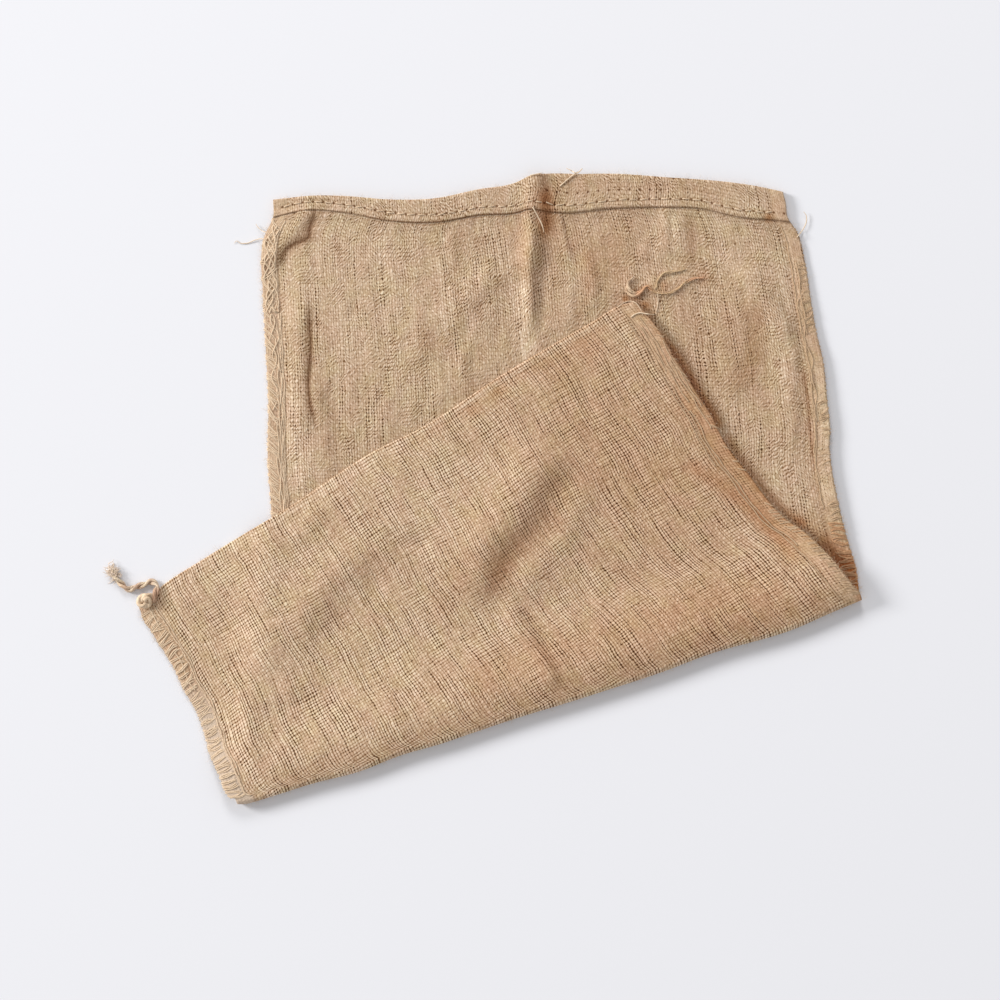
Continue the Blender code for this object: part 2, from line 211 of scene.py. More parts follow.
def yarn_finish(name, dark, light, relief=0.05, ply_groove_shade=0.0, tints=None):
    """Spun jute: pale and dark fibres that wind along the yarn, read from its own lay.

    Painted shade darkens the grooves where two plies meet; tints are colours by millimetres along the
    yarn.
    """
    made, tree, shader = new_finish(name, 0.85)
    across, around, along = own_vector(tree, "lay")
    broad = noise(across * 1.3, around * 1.3, along * 0.25, detail=2)
    fine = noise(across * 5, around * 5, along * 0.5, detail=2)
    middle = tuple(0.5 * d + 0.5 * p for d, p in zip(dark, light))
    colour = ramp(broad * 0.55 + fine * 0.6, (0.34, dark), (0.52, middle), (0.72, light))
    # painted shade in the grooves between the plies
    colour = blended(colour, (0.26, 0.16, 0.11), across.size().between(0.5, 0.05) * ply_groove_shade)
    if tints:
        length = tints[-1][0]
        tint = ramp(along * (1 / length), *((place / length, shade) for place, shade in tints))
        colour = blended(colour, tint)
    lead(colour, shader.inputs["Base Color"])
    bump(shader, fine, relief)
    return made


def smooth_table(rows, x):
    """A smooth curve through the rows (place, value), read at x: cubic pieces, shared slopes."""
    places, values = np.array(rows).T
    slopes = np.gradient(values, places)
    piece = np.clip(np.searchsorted(places, x, side="right") - 1, 0, len(places) - 2)
    width = places[piece + 1] - places[piece]
    t = (x - places[piece]) / width
    start = (1 + 2 * t) * (1 - t) ** 2 * values[piece] + t * (1 - t) ** 2 * width * slopes[piece]
    end = t * t * (3 - 2 * t) * values[piece + 1] - t * t * (1 - t) * width * slopes[piece + 1]
    return start + end


def travel(route):
    """The way covered at each point of a route, or of each route in an array of them."""
    steps = np.linalg.norm(np.diff(route, axis=-2), axis=-1)
    return np.concatenate([np.zeros_like(steps[..., :1]), np.cumsum(steps, axis=-1)], axis=-1)


def smooth_route(route, step):
    """Points at even steps on a smooth curve through a route."""
    route = np.array(route, dtype=float)
    run = travel(route)
    fine = np.linspace(0.0, run[-1], 600)
    curve = np.stack([smooth_table(np.stack([run, axis], axis=1), fine) for axis in route.T], 1)
    run = travel(curve)
    even = np.linspace(0.0, run[-1], int(np.ceil(run[-1] / step)) + 1)
    return np.stack([np.interp(even, run, axis) for axis in curve.T], axis=1)


def unit(vectors):
    """Vectors made one long."""
    return vectors / np.maximum(np.linalg.norm(vectors, axis=-1, keepdims=True), 1e-9)


def strands(routes, radii, sides, plies=1, lay=12.0):
    """Tubes along routes (tubes, points, 3): centre + radius (side cos a + up sin a).

    Side is the way crossed with the upright, up is side crossed with the way. Two plies give
    the radius c |cos b| + sqrt(r^2 - c^2 sin^2 b), b being a less one turn per lay length.
    """
    routes = np.asarray(routes, dtype=float)
    way = unit(np.gradient(routes, axis=1))
    side = unit(np.cross(way, (0.0, 0.0, 1.0)))
    up = np.cross(side, way)
    run = travel(routes)
    turn = np.linspace(0.0, 2 * np.pi, sides, endpoint=False)
    own = turn - 2 * np.pi * run[..., None] / lay
    thick = np.ones_like(own)
    if plies == 2:
        inner = PLY_RADIUS ** 2 - (PLY_OFFSET * np.sin(own)) ** 2
        thick = PLY_OFFSET * np.abs(np.cos(own)) + np.sqrt(inner)
    ring = (np.asarray(radii, dtype=float)[..., None] * thick)[..., None]
    spokes = side[:, :, None] * np.cos(turn)[:, None] + up[:, :, None] * np.sin(turn)[:, None]
    points = routes[:, :, None] + ring * spokes
    own_lay = np.stack([np.cos(own), np.sin(own), np.broadcast_to(run[..., None], own.shape)], -1)
    numbers = np.arange(own.size).reshape(own.shape)
    after = np.roll(numbers, -1, axis=2)
    quads = np.stack([numbers[:, :-1], numbers[:, 1:], after[:, 1:], after[:, :-1]], axis=-1)
    ends = np.concatenate([numbers[:, 0], numbers[:, -1, ::-1]])
    return points.reshape(-1, 3), [quads.reshape(-1, 4), ends], own_lay.reshape(-1, 3)


def add_piece(name, points, faces, finish, slot, **vectors):
    """A piece from whole arrays: points (n, 3) in mm, face groups (faces, corners)."""
    corners = np.concatenate([group.ravel() for group in faces]).astype(np.int32)
    sizes = np.concatenate([np.full(len(group), group.shape[1]) for group in faces])
    mesh = bpy.data.meshes.new(name)
    mesh.vertices.add(len(points))
    mesh.vertices.foreach_set("co", (points * MM).astype(np.float32).ravel())
    mesh.loops.add(len(corners))
    mesh.loops.foreach_set("vertex_index", corners)
    mesh.polygons.add(len(sizes))
    mesh.polygons.foreach_set("loop_start", (np.cumsum(sizes) - sizes).astype(np.int32))
    mesh.polygons.foreach_set("use_smooth", np.ones(len(sizes), dtype=bool))
    mesh.update(calc_edges=True)
    for key, values in vectors.items():
        layer = mesh.attributes.new(key, "FLOAT_VECTOR", "POINT")
        layer.data.foreach_set("vector", values.astype(np.float32).ravel())
    mesh.materials.append(finish)
    piece = bpy.data.objects.new(name, mesh)
    bpy.context.scene.collection.objects.link(piece)
    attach(piece, "root")
    return piece


def add_strands(name, tubes, finish, slot="jute_twine"):
    """A piece from tubes, which come as (points, face groups, lay)."""
    return add_piece(name, tubes[0], tubes[1], finish, slot, lay=tubes[2])


def joined(pieces):
    """Several (points, face groups, lay) as one, numbered on."""
    points, faces, lays = zip(*pieces)
    counts = np.cumsum([0] + [len(some) for some in points])
    faces = [group + count for groups, count in zip(faces, counts) for group in groups]
    return np.concatenate(points), faces, np.concatenate(lays)


def hairs(starts, ways, lengths, droop, radius, seed, points=7):
    """Fine curved fibres: start + way * length * t + bend * length * t^2, thinner at the tip."""
    random = np.random.default_rng(seed)
    count = len(starts)
    t = np.linspace(0.0, 1.0, points)[:, None]
    lengths = np.broadcast_to(lengths, (count,))[:, None, None]
    bend = random.normal(0.0, 0.32, (count, 1, 3))
    bend[..., 2] = bend[..., 2] * 0.3 - droop
    kink = random.normal(0.0, 0.10, (count, 1, 3)) * np.sin(t * np.pi * 2)
    routes = np.asarray(starts)[:, None] + lengths * (np.asarray(ways)[:, None] * t
                                                      + bend * t ** 2 + kink)
    radii = radius * (1 - 0.7 * t[:, 0]) * random.uniform(0.7, 1.3, (count, 1))
    return routes, radii


FUZZ, TUFT = 70, 170  # how many fibres stand off a twine, and in the tuft
for twine_name, (diameter, lay_length, corners) in TWINES.items():
    route = smooth_route(corners, lay_length / 20)
    numbers = np.arange(len(route))
    radii = diameter / 2 * smooth_table(TWINE_FULLNESS[twine_name], np.linspace(0, 1, len(route)))
    uneven = 1 + 0.10 * np.sin(numbers / 7.3) * np.sin(numbers / 3.1)
    tube = strands(route[None], radii[None] * uneven, 20, plies=2, lay=lay_length)
    tube[0][:, 2] = np.maximum(tube[0][:, 2], 0.05)
    dark, light = TWINE_COLOURS[twine_name]
    slot = "jute_twine" if twine_name == "corner_twine" else "stained_jute_twine"
    twine_finish = yarn_finish(twine_name, dark, light, 0.35, 0.9, TWINE_TINTS[twine_name])
    fuzz_finish = yarn_finish(twine_name + "_fibres", np.add(dark, 0.3), light)
    twine = add_strands("loose_" + twine_name, tube, twine_finish, slot)
    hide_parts(twine_name)
    spread = np.random.default_rng(len(twine_name))
    chosen = spread.integers(2, len(route) - 2, FUZZ)
    outward = unit(spread.normal(0.0, 1.0, (FUZZ, 3)) * (1.0, 1.0, 0.6) + (0.0, 0.0, 0.5))
    starts = route[chosen] + outward * diameter * 0.3
    routes, radii = hairs(starts, outward, spread.uniform(1.5, 4.5, FUZZ), 0.1, 0.10, 11)
    routes[..., 2] = np.maximum(routes[..., 2], 0.15)
    fuzz = [strands(routes, radii, 3)]
    if twine_name == "corner_twine":
        way = unit(route[-1] - route[-5])
        ways = unit(way * 0.5 + spread.normal(0.0, 0.8, (TUFT, 3)) * (1.0, 1.0, 0.5))
        starts = route[-1] + spread.normal(0.0, 1.9, (TUFT, 3)) * (1.0, 1.0, 0.6)
        starts -= way * spread.uniform(-1.0, 7.0, (TUFT, 1))
        routes, radii = hairs(starts, ways, spread.uniform(1.5, 5.0, TUFT), 0.1, 0.36, 12)
        routes[..., 2] = np.maximum(routes[..., 2], 0.5)
        fuzz.append(strands(routes, radii, 4))
    fuzz_piece = add_strands(twine_name + "_fuzz", joined(fuzz), fuzz_finish, slot)
    length = travel(route)[-1]

# The bag's cloth: plain-woven hessian about 1 mm thick, doubled at the closed end and sewn up
# both sides. It lies with the mouth towards +Y and its lower part turned up over the front
# along a slanting fold. Two sheets make it up; they meet out of sight, under the turned part.
CLOTH = 1.2  # thickness in the lay
SHEET = 1.05  # thickness as modelled, which leaves the layers apart
SLOT = 0.8  # air between the walls inside the bag
SEAM_SLOT = 0.3  # what the side seams leave of it
BAG_WIDTH = 460.0
SEAM_ALLOWANCE = 12.4  # cloth outside each seam line
SEAM_LINE = SEAM_ALLOWANCE / BAG_WIDTH
WALL_LOFT = 1.0  # how far an upper wall stands off the wall below it
EDGE_FADE = 25.0  # over which the loft grows from a seam line or an end
COVER_START = 3.0  # beyond the turned part, from where the front's own loft shows ...
COVER_FADE = 16.0  # ... and over what length it comes up
RELIEF_FADE = 8.0  # the same for the relief of the seam line
BEND_RADIUS = 3.6  # of the bag's middle around the fold
LAY_GAP = 0.6  # air between the turned part and the front under it
BEND_SETTLE = 55.0  # past the fold, where the turned part has come down on the front
DROOP_START = 4.0  # beyond the left edge of the lower layers, where the turned part droops
DROOP_END = 36.0  # where it has reached the ground
EDGE_LIFT = 1.1  # what that edge lifts it by ...
EDGE_LIFT_REACH = 12.0  # ... and how far to either side
HALF_BAG = CLOTH + SLOT / 2
HEM_SETTLE = 9.0  # past the hem, where a wall has come down from its own hem
MOUTH_RADIUS = 0.6  # of the turn at the mouth, in the middle of the cloth
MOUTH_INSET = MOUTH_RADIUS + SHEET / 2
# The roll behind the fold: share across and height, distance of its crest, width of its far side
SWELL = ((0, 1), (0.06, 2.4), (0.15, 3.6), (0.5, 5), (0.85, 5.6), (1, 5.4))
SWELL_START = 0.30
SWELL_CREST = 30.0
SWELL_FALL = 60.0
# How far the right seam stands up: along the turned part (share) and along the lower one (mm)
TURNED_LIFT = ((0, 1), (0.06, 2.8), (0.13, 4), (0.25, 2), (0.36, 0.9), (0.5, 0.8), (0.7, 1.1),
               (0.88, 1.9), (1, 1.2))
UNDER_LIFT = ((0, 0), (60, 0.2), (100, 0.8), (150, 2.4), (260, 2.8), (300, 1.6), (330, 0), (345, 0))
SEAM_LIFT_REACH = 24.0

# Corners of the plan: of the mouth, of the fold and of the closed end, which is turned over
CORNERS = {
    "mouth_left": (-180.4, 230.1),
    "mouth_right": (226.7, 236.3),
    "fold_left": (-208.6, -252.9),
    "fold_right": (289.65, -89.9),
    "end_left": (-287.8, -96.0),
    "end_right": (109.6, 148.5),
}
# Edges between two corners: fraction of the way, sway to the left of it (none at the corners)
EDGES = {
    "mouth": ("mouth_left", "mouth_right", (
        (0.08, 2.7), (0.14, 2), (0.23, -1.4), (0.32, -0.8), (0.4, 5.5), (0.48, 11.2), (0.505, 15.9),
        (0.54, 17.3), (0.6, 16.7), (0.66, 16.6), (0.78, 12.7), (0.9, 8), (0.96, 3.9))),
    "left_under": ("mouth_left", "fold_left", (
        (0.03, 0.8), (0.06, -5), (0.09, -6.8), (0.15, -4.2), (0.24, 0.7), (0.34, 5.8), (0.43, 7.9),
        (0.52, 13.4), (0.66, 13.5), (0.83, 9.8))),
    "right_under": ("mouth_right", "fold_right", (
        (0.03, 0.6), (0.06, -0.2), (0.1, 5.1), (0.17, 6.8), (0.29, 5.3), (0.36, 5.3), (0.41, 6),
        (0.52, 3.1), (0.58, 1.5), (0.63, -2.1), (0.69, -3.5), (0.76, -3.4), (0.86, -1.8), (0.93, 0.8))),
    "fold": ("fold_left", "fold_right", (
        (0.01, -1.6), (0.03, -2.4), (0.05, -2.6), (0.12, -3), (0.19, -5.4), (0.26, -3.4), (0.32, -4.6),
        (0.38, -4.2), (0.45, -4), (0.52, -4.8), (0.58, -5.1), (0.68, -5), (0.75, -3.3), (0.89, -5.2),
        (0.95, -2.1))),
    "left_turned": ("fold_left", "end_left", (
        (0.012, 2.6), (0.03, 4.2), (0.05, 4.6), (0.12, 3.5), (0.18, 2.8), (0.25, 2.4), (0.33, -0.8),
        (0.4, -2.6), (0.47, -3.8), (0.52, -3.1), (0.6, -2.6), (0.67, -3.3), (0.75, -2.6), (0.83, -1),
        (0.9, -0.1), (0.95, 1.2))),
    "end": ("end_left", "end_right", (
        (0.05, 5), (0.14, 6.2), (0.22, 6.2), (0.29, 5.6), (0.5, 7.6), (0.56, 4.6), (0.74, 6.4),
        (0.91, 4.7), (0.98, 3.3))),
    "right_turned": ("fold_right", "end_right", (
        (0.05, 0.7), (0.09, 0.9), (0.13, 1), (0.18, 2.8), (0.23, 4.7), (0.285, 9.9), (0.38, 12.3),
        (0.45, 11.8), (0.52, 12.1), (0.575, 10.9), (0.63, 7.6), (0.7, 5.9), (0.76, 4.3), (0.82, 2.5),
        (0.89, -0.4))),
}
HEM_WIDTH = (  # share across, millimetres
    (0, 14.2), (0.06, 11.4), (0.14, 13.4), (0.22, 16.8), (0.34, 20), (0.46, 23.6), (0.5, 27),
    (0.55, 31.6), (0.65, 28.9), (0.76, 24.9), (0.83, 23.7), (0.9, 28.5), (1, 25))
# Creases and swells by wall: half width, rise (a trough is below zero), path of (x, y)
FOLDS = {
    "front": (
        (4.5, 2.4, ((24.8, 245), (24.4, 190), (27.2, 126))),
        (5, -0.9, ((34, 230), (33, 190), (34, 126))),
        (4, -0.9, ((-147, 218), (-158, 198), (-175, 184))),
        (7, 1.8, ((-176, 216), (-160, 205))),
        (4, -0.8, ((-152.8, 145), (-152, 52))),
        (8, 1, ((-163, 165), (-162, 15))),
        (7, -0.9, ((-136.8, 78), (-136.8, 0))),
        (8, 1.6, ((135, 228), (135, 182))),
        (15, 1.2, ((10, 178), (-26, 122))),
        (22, 1.6, ((190, 176), (243, 122)))),
    "turned": (
        (13, 2.4, ((72, 14), (55, -32), (22, -74), (4, -92))),
        (16, 1.5, ((34, 34), (8, -14), (-28, -58))),
        (30, 2, ((-196, -106), (-166, -176))),
        (13, 2.2, ((112, 140), (188, 36), (284, -80)))),
    "back": (
        (6, -1.2, ((-91, -33), (-78, -44), (-54, -47))),
        (7, -1.1, ((16, -96), (39, -133))),
        (8, 1.5, ((196, -28), (236, -71)))),
}
# Finer ones, which only the visible faces have
FINE_FOLDS = {
    "front": (
        (4, 0.6, ((56, 181), (56, 120))),
        (8, 1.3, ((92, 164), (118, 157), (142, 162), (168, 174))),
        (4.5, 0.6, ((67, 203), (73, 151))),
        (5, -0.6, ((-118, 227), (-110, 195))),
        (4, -0.4, ((-118, 152), (-117, 133))),
        (8, 0.8, ((-1, 181), (-33, 147))),
        (4, 0.5, ((-38, 213), (-37, 176))),
        (7, 0.6, ((-59, 131), (-54, 101))),
        (7, 0.7, ((-33, 111), (-23, 83))),
        (6, 0.7, ((-81, 85), (-94, 47))),
        (5, 0.8, ((142, 222), (146, 183))),
        (8, 1, ((161, 186), (197, 168), (221, 143), (235, 111), (241, 71), (246, 23))),
        (7, -0.8, ((189, 171), (201, 127), (194, 77)))),
    "back": (
        (16, 1.2, ((-99, -41), (-167, -106))),
        (14, -0.8, ((-83, -69), (-151, -133))),
        (8, 0.8, ((-182, -121), (-185, -147))),
        (5, -0.6, ((-207, -133), (-217, -147))),
        (6, -0.9, ((191, -1), (209, -25))),
        (8, 0.7, ((-159, -1), (-135, 8))),
        (7, 0.7, ((-145, -192), (-142, -216))),
        (7, 0.8, ((-205, -179), (-195, -221))),
        (4, -0.5, ((-99, -129), (-87, -145))),
        (4, -0.5, ((-59, -145), (-47, -155)))),
}
# Creases with one steep side, on the visible faces only: width of the drop, reach of the swell
# above it, drop, darkness of the painted shade line at its foot, strength of the painted shade on
# its steep side, path with the low side to its right
DROPS = {
    "front": (
        (4.8, 13, 5, 0, 0.46, (
            (30, 166), (32.4, 182.8), (34.4, 202), (37.2, 214), (36.4, 228), (35.2, 242), (34, 256),
            (33, 290))),
        (4.4, 12, 2.6, 0.1, 0.16, ((26.6, 118), (26.6, 140), (27, 160), (29, 183), (32, 200))),
        (3, 12, 1.2, 0, 0.1, ((77.6, 140), (78.6, 162.8), (74.4, 186))),
        (2.8, 20, 3.6, 0.55, 0.55, (
            (-178, 172), (-176, 178.4), (-174, 186), (-170.4, 192), (-160, 197.6), (-152.4, 201.2),
            (-152.8, 206.8), (-148.4, 219.6), (-150, 228))),
        (1.8, 16, 2.2, 0.6, 0.6, (
            (-145, 40), (-149.6, 56), (-152.4, 70), (-153.4, 82), (-152.8, 96.4), (-151.4, 112.4),
            (-152.6, 128), (-152.2, 156))),
        (5, 18, 1.8, 0, 0.18, (
            (-36.8, 118.8), (-29.6, 133.2), (-22.2, 143.8), (-13.2, 151.8), (-3.8, 159), (8, 172))),
        (5, 15, 1.1, 0, 0.1, ((-55.2, 98), (-56.8, 122.8), (-54.6, 144.4))),
        (3, 8, 0.8, 0, 0.08, ((-32.8, 140), (-33.8, 214))),
        (4.5, 12, 2.2, 0, 0.22, (
            (-122, 2), (-129, 16.4), (-134.4, 26.8), (-133.6, 42.8), (-136, 58.8), (-141.6, 74.8),
            (-144, 96))),
        (4, 9, 0.9, 0, 0.1, ((-22, 66), (-24, 80), (-29, 112))),
        (6, 26, 2.2, 0, 0.2, ((192, 66), (199, 94), (203.4, 116), (201, 134), (192, 156))),
        (4, 20, 2.2, 0, 0.15, (
            (240, 14), (238.4, 70.8), (238.4, 94.8), (235.8, 116), (228, 136.4), (217.4, 153.4),
            (204.4, 167.2), (184.4, 184.8))),
        (1.5, 6, 0.9, 0.6, 0.15, (
            (242.6, 108), (244.4, 92), (247.4, 70.8), (249.6, 46.8), (252.6, 10.8))),
        (3.5, 10, 1.3, 0, 0.12, ((154.4, 172), (152.8, 196.8), (150, 224))),
        (1.5, 5, 0.6, 0.12, 0.05, ((136.4, 180), (135.2, 230))),
        (1.8, 6, 0.9, 0.3, 0.1, ((58.6, 180), (53.6, 198.8), (47.8, 222.8)))),
    "back": (
        (11, 42, 6.6, 0, 0.52, (
            (-20, -101.6), (-14.2, -89.8), (-6.8, -75.6), (-0.8, -59.8), (7.4, -45.6), (20.8, -32.6),
            (30.4, -20.6), (35.6, -6.2), (46.2, 10.2), (62.4, 30.4))),
        (3.4, 13, 3, 0, 0.34, (
            (49.4, -168.2), (46.4, -153.6), (40.8, -139.8), (33.8, -126.2), (26.4, -114.2),
            (19.2, -103.2), (6.4, -86.2))),
        (11, 38, 2.6, 0, 0.04, (
            (-160.2, -152.8), (-155.4, -129.2), (-149.6, -111.6), (-139.2, -94), (-125.6, -79.6),
            (-111.2, -66.8), (-95.2, -57.2), (-80.8, -47.6), (-63.2, -35.2), (-48.8, -22.8))),
        (7, 22, 1.7, 0, 0.12, ((-163.2, -52.6), (-151.6, -36.2), (-138.2, -17.2), (-118.2, 0.8))),
        (5, 16, 1.2, 0, 0.1, ((-103, -196), (-112, -180), (-125, -166))),
        (5, 14, 1, 0, 0.08, ((-62, -188), (-78, -176), (-92, -158)))),
}
FOLD_TAPER = 0.25  # share of a crease over which it dies out at each end ...
FOLD_END = 0.15  # ... down to how much of it
DROP_STEP = 5.0
FAR_OFF = 90.0  # where there is no crease or stitch near


def smooth_step(x):
    """0 below 0, 1 above 1, smooth between."""
    x = np.clip(x, 0.0, 1.0)
    return x * x * (3 - 2 * x)


def bell(x):
    """exp(-x^2): 1 at 0, dying out on both sides."""
    return np.exp(-x ** 2)


def level_normal(first, last):
    """The level direction to the left of the way from one corner to another."""
    way = np.subtract(CORNERS[last], CORNERS[first])
    way = way / np.linalg.norm(way)
    return np.array((-way[1], way[0]))


FOLD_OUTWARD = level_normal("fold_right", "fold_left")
END_OUTWARD = level_normal("end_left", "end_right")


def edge_point(name, t):
    """The point at fraction t of a named edge, its sway added."""
    first, last, sway_rows = EDGES[name]
    a, b = np.array(CORNERS[first]), np.array(CORNERS[last])
    t = np.asarray(t)[..., None]
    sway = smooth_table(((0, 0), *sway_rows, (1, 0)), t)
    return a + (b - a) * t + level_normal(first, last) * sway


def patch(low, high, left, right, u, w):
    """The plan between four edges (a Coons patch): u runs across, w from low to high."""
    ends = [np.array(CORNERS[EDGES[name][side]]) for name in (low, high) for side in (0, 1)]
    u, w = u[..., None], w[..., None]
    across = (1 - w) * edge_point(low, u[..., 0]) + w * edge_point(high, u[..., 0])
    along = (1 - u) * edge_point(left, w[..., 0]) + u * edge_point(right, w[..., 0])
    corners = ((1 - w) * ((1 - u) * ends[0] + u * ends[1]) + w * ((1 - u) * ends[2] + u * ends[3]))
    return across + along - corners


def path_distance(plan, path):
    """How far each plan point lies to the right of a path (left: below zero), and how far along."""
    points = np.array(path)
    lengths = np.linalg.norm(np.diff(points, axis=0), axis=1)
    best = np.full(plan.shape[:-1], np.inf)
    place = np.zeros_like(best)
    for index, length in enumerate(lengths):
        way = (points[index + 1] - points[index]) / length
        offset = plan - points[index]
        run = np.clip(offset @ way, 0.0, length)
        distance = np.linalg.norm(offset - run[..., None] * way, axis=-1)
        nearer = distance < np.abs(best)
        aside = offset[..., 0] * way[1] - offset[..., 1] * way[0]
        best = np.where(nearer, np.copysign(distance, aside), best)
        place = np.where(nearer, lengths[:index].sum() + run, place)
    return best, place / lengths.sum()


def beside(plan, path, least=FOLD_END):
    """Distance to the right of a path, and the share of a crease, less towards the path's ends."""
    distance, place = path_distance(plan, path)
    return distance, smooth_step(np.minimum(place, 1 - place) / FOLD_TAPER + least)


def folds(wall, plan, table=FOLDS):
    """The creases and swells of one wall: rise * exp(-(distance / half width)^2), faded at ends."""
    height = np.zeros(plan.shape[:-1])
    for half_width, rise, path in table[wall]:
        distance, fade = beside(plan, path)
        height += rise * fade * bell(distance / half_width)
    return height


def drops(wall, plan):
    """Cloth that swells up to a crease and falls away past it, s being the distance past it:
    drop * (1 - tanh(s / width)) / 2 * exp(-(s / reach)^2), faded at the crease's ends."""
    height = np.zeros(plan.shape[:-1])
    for width, reach, drop, _, _, path in DROPS[wall]:
        past, fade = beside(plan, smooth_route(path, DROP_STEP))
        height += drop * fade * (1 - np.tanh(past / width)) / 2 * bell(past / reach)
    return height


def crease_lines(wall, plan):
    """Distance past the nearest sharp crease, how dark the painted shade line at its foot is, and the
    painted shade of steep sides."""
    nearest = np.full(plan.shape[:-1], FAR_OFF)
    dark = np.zeros_like(nearest)
    flank_shades = np.zeros_like(nearest)
    for width, _, _, line, flank_shade, path in DROPS[wall]:
        past, fade = beside(plan, smooth_route(path, DROP_STEP), 0.0)
        # painted shade on the steep side, strongest a little past the crease
        steep = bell((past - 0.3 * width) / (1.3 * width + 0.8))
        flank_shades = np.maximum(flank_shades, flank_shade * fade * steep)
        closer = (np.abs(past) < np.abs(nearest)) & (line > 0)
        nearest = np.where(closer, past, nearest)
        dark = np.where(closer, line * fade, dark)
    return np.stack([nearest, dark, flank_shades], axis=-1).reshape(-1, 3)


def ripples(plan, along, short, long, count, seed):
    """Slight unevenness: many slanting waves added up, short across the thread and long along it.

    The sum of cos(2 pi (across / short + along / long) + phase), divided by the root of half
    their number, so that it spreads by 1 about 0.
    """
    random = np.random.default_rng(seed)
    way = unit(np.array(along, dtype=float))
    x = plan @ np.array((way[1], -way[0]))
    y = plan @ way
    height = np.zeros(plan.shape[:-1])
    for across_wave, along_wave, phase in zip(random.uniform(*short, count),
                                              random.uniform(*long, count),
                                              random.uniform(0.0, 1.0, count)):
        sign = 1 if phase > 0.5 else -1
        height += np.cos(2 * np.pi * (x / across_wave + sign * y / along_wave + 7 * phase))
    return height / np.sqrt(count / 2)


def outside_turned(plan):
    """How far a point lies outside the part that is turned over."""
    beyond_end = (plan - np.array(CORNERS["end_left"])) @ END_OUTWARD
    beyond_side = (plan - np.array(CORNERS["end_right"])) @ level_normal("end_right", "fold_right")
    return np.maximum(beyond_end, beyond_side)


def outside_left_seam(plan):
    """How far a point lies to the left of the seam edge of the lower layers."""
    x, y = edge_point("left_under", np.linspace(0.0, 1.0, 90)).T
    return np.interp(-plan[..., 1], -y, x) - plan[..., 0]


def inside_seams(u):
    """Millimetres from the nearer seam line, below zero in its allowance."""
    return (np.minimum(u, 1 - u) - SEAM_LINE) * BAG_WIDTH


def seam_fade(u):
    """0 on a seam line, 1 well inside the bag."""
    return smooth_step(inside_seams(u) / EDGE_FADE)


def slot_height(u):
    """The air inside the bag, pinched towards the side seams."""
    return SEAM_SLOT + (SLOT - SEAM_SLOT) * seam_fade(u)


def seam_relief(u):
    """Cloth drawn down along the seam line, and the allowance beside it standing up a little."""
    inside = inside_seams(u)
    return 0.25 * bell((inside + 6.0) / 4.0) - 0.35 * bell((inside - 1.0) / 1.8)


def wall_length(u):
    """Straight length of a wall from the mouth to the fold."""
    return np.linalg.norm(edge_point("mouth", u) - edge_point("fold", u), axis=-1)


def turned_length(u):
    """Straight length of the turned part from the fold to the closed end."""
    return np.linalg.norm(edge_point("fold", u) - edge_point("end", u), axis=-1)


def under_plan(u, distance):
    """Plan of the walls that lie under, at a distance from the mouth."""
    w = distance / wall_length(u)
    plan = patch("mouth", "fold", "left_under", "right_under", u, w)
    return plan - FOLD_OUTWARD * (BEND_RADIUS + HALF_BAG) * (w ** 3)[..., None]


def hem_lift(u, distance):
    """What the turned hem of the wall below adds, down to nothing past the hem."""
    past = distance - smooth_table(HEM_WIDTH, u)
    return CLOTH * (1 - smooth_step(past / HEM_SETTLE))


def front_loft(u, plan):
    """How far the front stands off the back: loft, folds and ripples where it is uncovered."""
    uncovered = smooth_step((outside_turned(plan) - COVER_START) / COVER_FADE)
    crinkle = 0.09 * ripples(plan, (0, 1), (7, 15), (18, 60), 40, 1)
    crinkle += 0.10 * ripples(plan, (0.3, 1), (16, 30), (40, 90), 20, 2)
    fine = folds("front", plan, FINE_FOLDS) + drops("front", plan) + crinkle
    return (WALL_LOFT * seam_fade(u) + folds("front", plan) + fine) * uncovered


def raised(plan, height):
    """Points at a height over a plan."""
    return np.concatenate([plan, height[..., None]], axis=-1)


def front_wall(u, distance):
    """The front's middle surface between the mouth and the fold."""
    plan = under_plan(u, distance)
    loft = np.maximum(front_loft(u, plan), SEAM_SLOT - slot_height(u))
    height = 1.5 * CLOTH + slot_height(u) + hem_lift(u, distance) + loft
    height = height + seam_relief(u) * smooth_step(outside_turned(plan) / RELIEF_FADE)
    return raised(plan, height + seam_lift(UNDER_LIFT, u, distance))


def front_hem(u, distance):
    """The hem layer on the outside of the front: one cloth above the wall, its edge bent down."""
    points = front_wall(u, distance)
    from_edge = smooth_table(HEM_WIDTH, u) - distance
    tuck = 0.35 * bell(from_edge / 1.6) + 0.30 * bell((from_edge - 6.4) / 1.5)
    points[..., 2] += CLOTH - tuck
    return points


def back_wall(u, distance):
    """The back's middle surface on the ground, lifted over its own hem."""
    plan = under_plan(u, distance)
    return raised(plan, 0.5 * CLOTH + hem_lift(u, distance) + seam_lift(UNDER_LIFT, u, distance))


def bend(u, angle, radius):
    """Around the fold: half a turn of a given radius about a line inside the outer edge."""
    reach = radius * np.sin(angle) - (BEND_RADIUS + HALF_BAG)
    plan = edge_point("fold", u) + FOLD_OUTWARD * reach[..., None]
    height = BEND_RADIUS + HALF_BAG - radius * np.cos(angle)
    return raised(plan, height + SWELL_START * smooth_table(SWELL, u) * (1 - np.cos(angle)) / 2)


def turned_plan(u, w):
    """Plan of the turned part: w runs from the fold to the closed end."""
    plan = patch("fold", "end", "left_turned", "right_turned", u, w)
    plan = plan - FOLD_OUTWARD * ((BEND_RADIUS + HALF_BAG) * (1 - w) ** 3)[..., None]
    return plan - END_OUTWARD * (HALF_BAG * w ** 6)[..., None]


def fold_swell(u, w):
    """The roll behind the fold: start + (1 - start)(1 - (1 - distance / crest)^2) up to its
    crest, then dying out."""
    distance = w * turned_length(u)
    rise = 1 - (1 - SWELL_START) * (1 - np.clip(distance / SWELL_CREST, 0, 1)) ** 2
    fall = 1 - smooth_step((distance - SWELL_CREST) / SWELL_FALL)
    return smooth_table(SWELL, u) * rise * fall


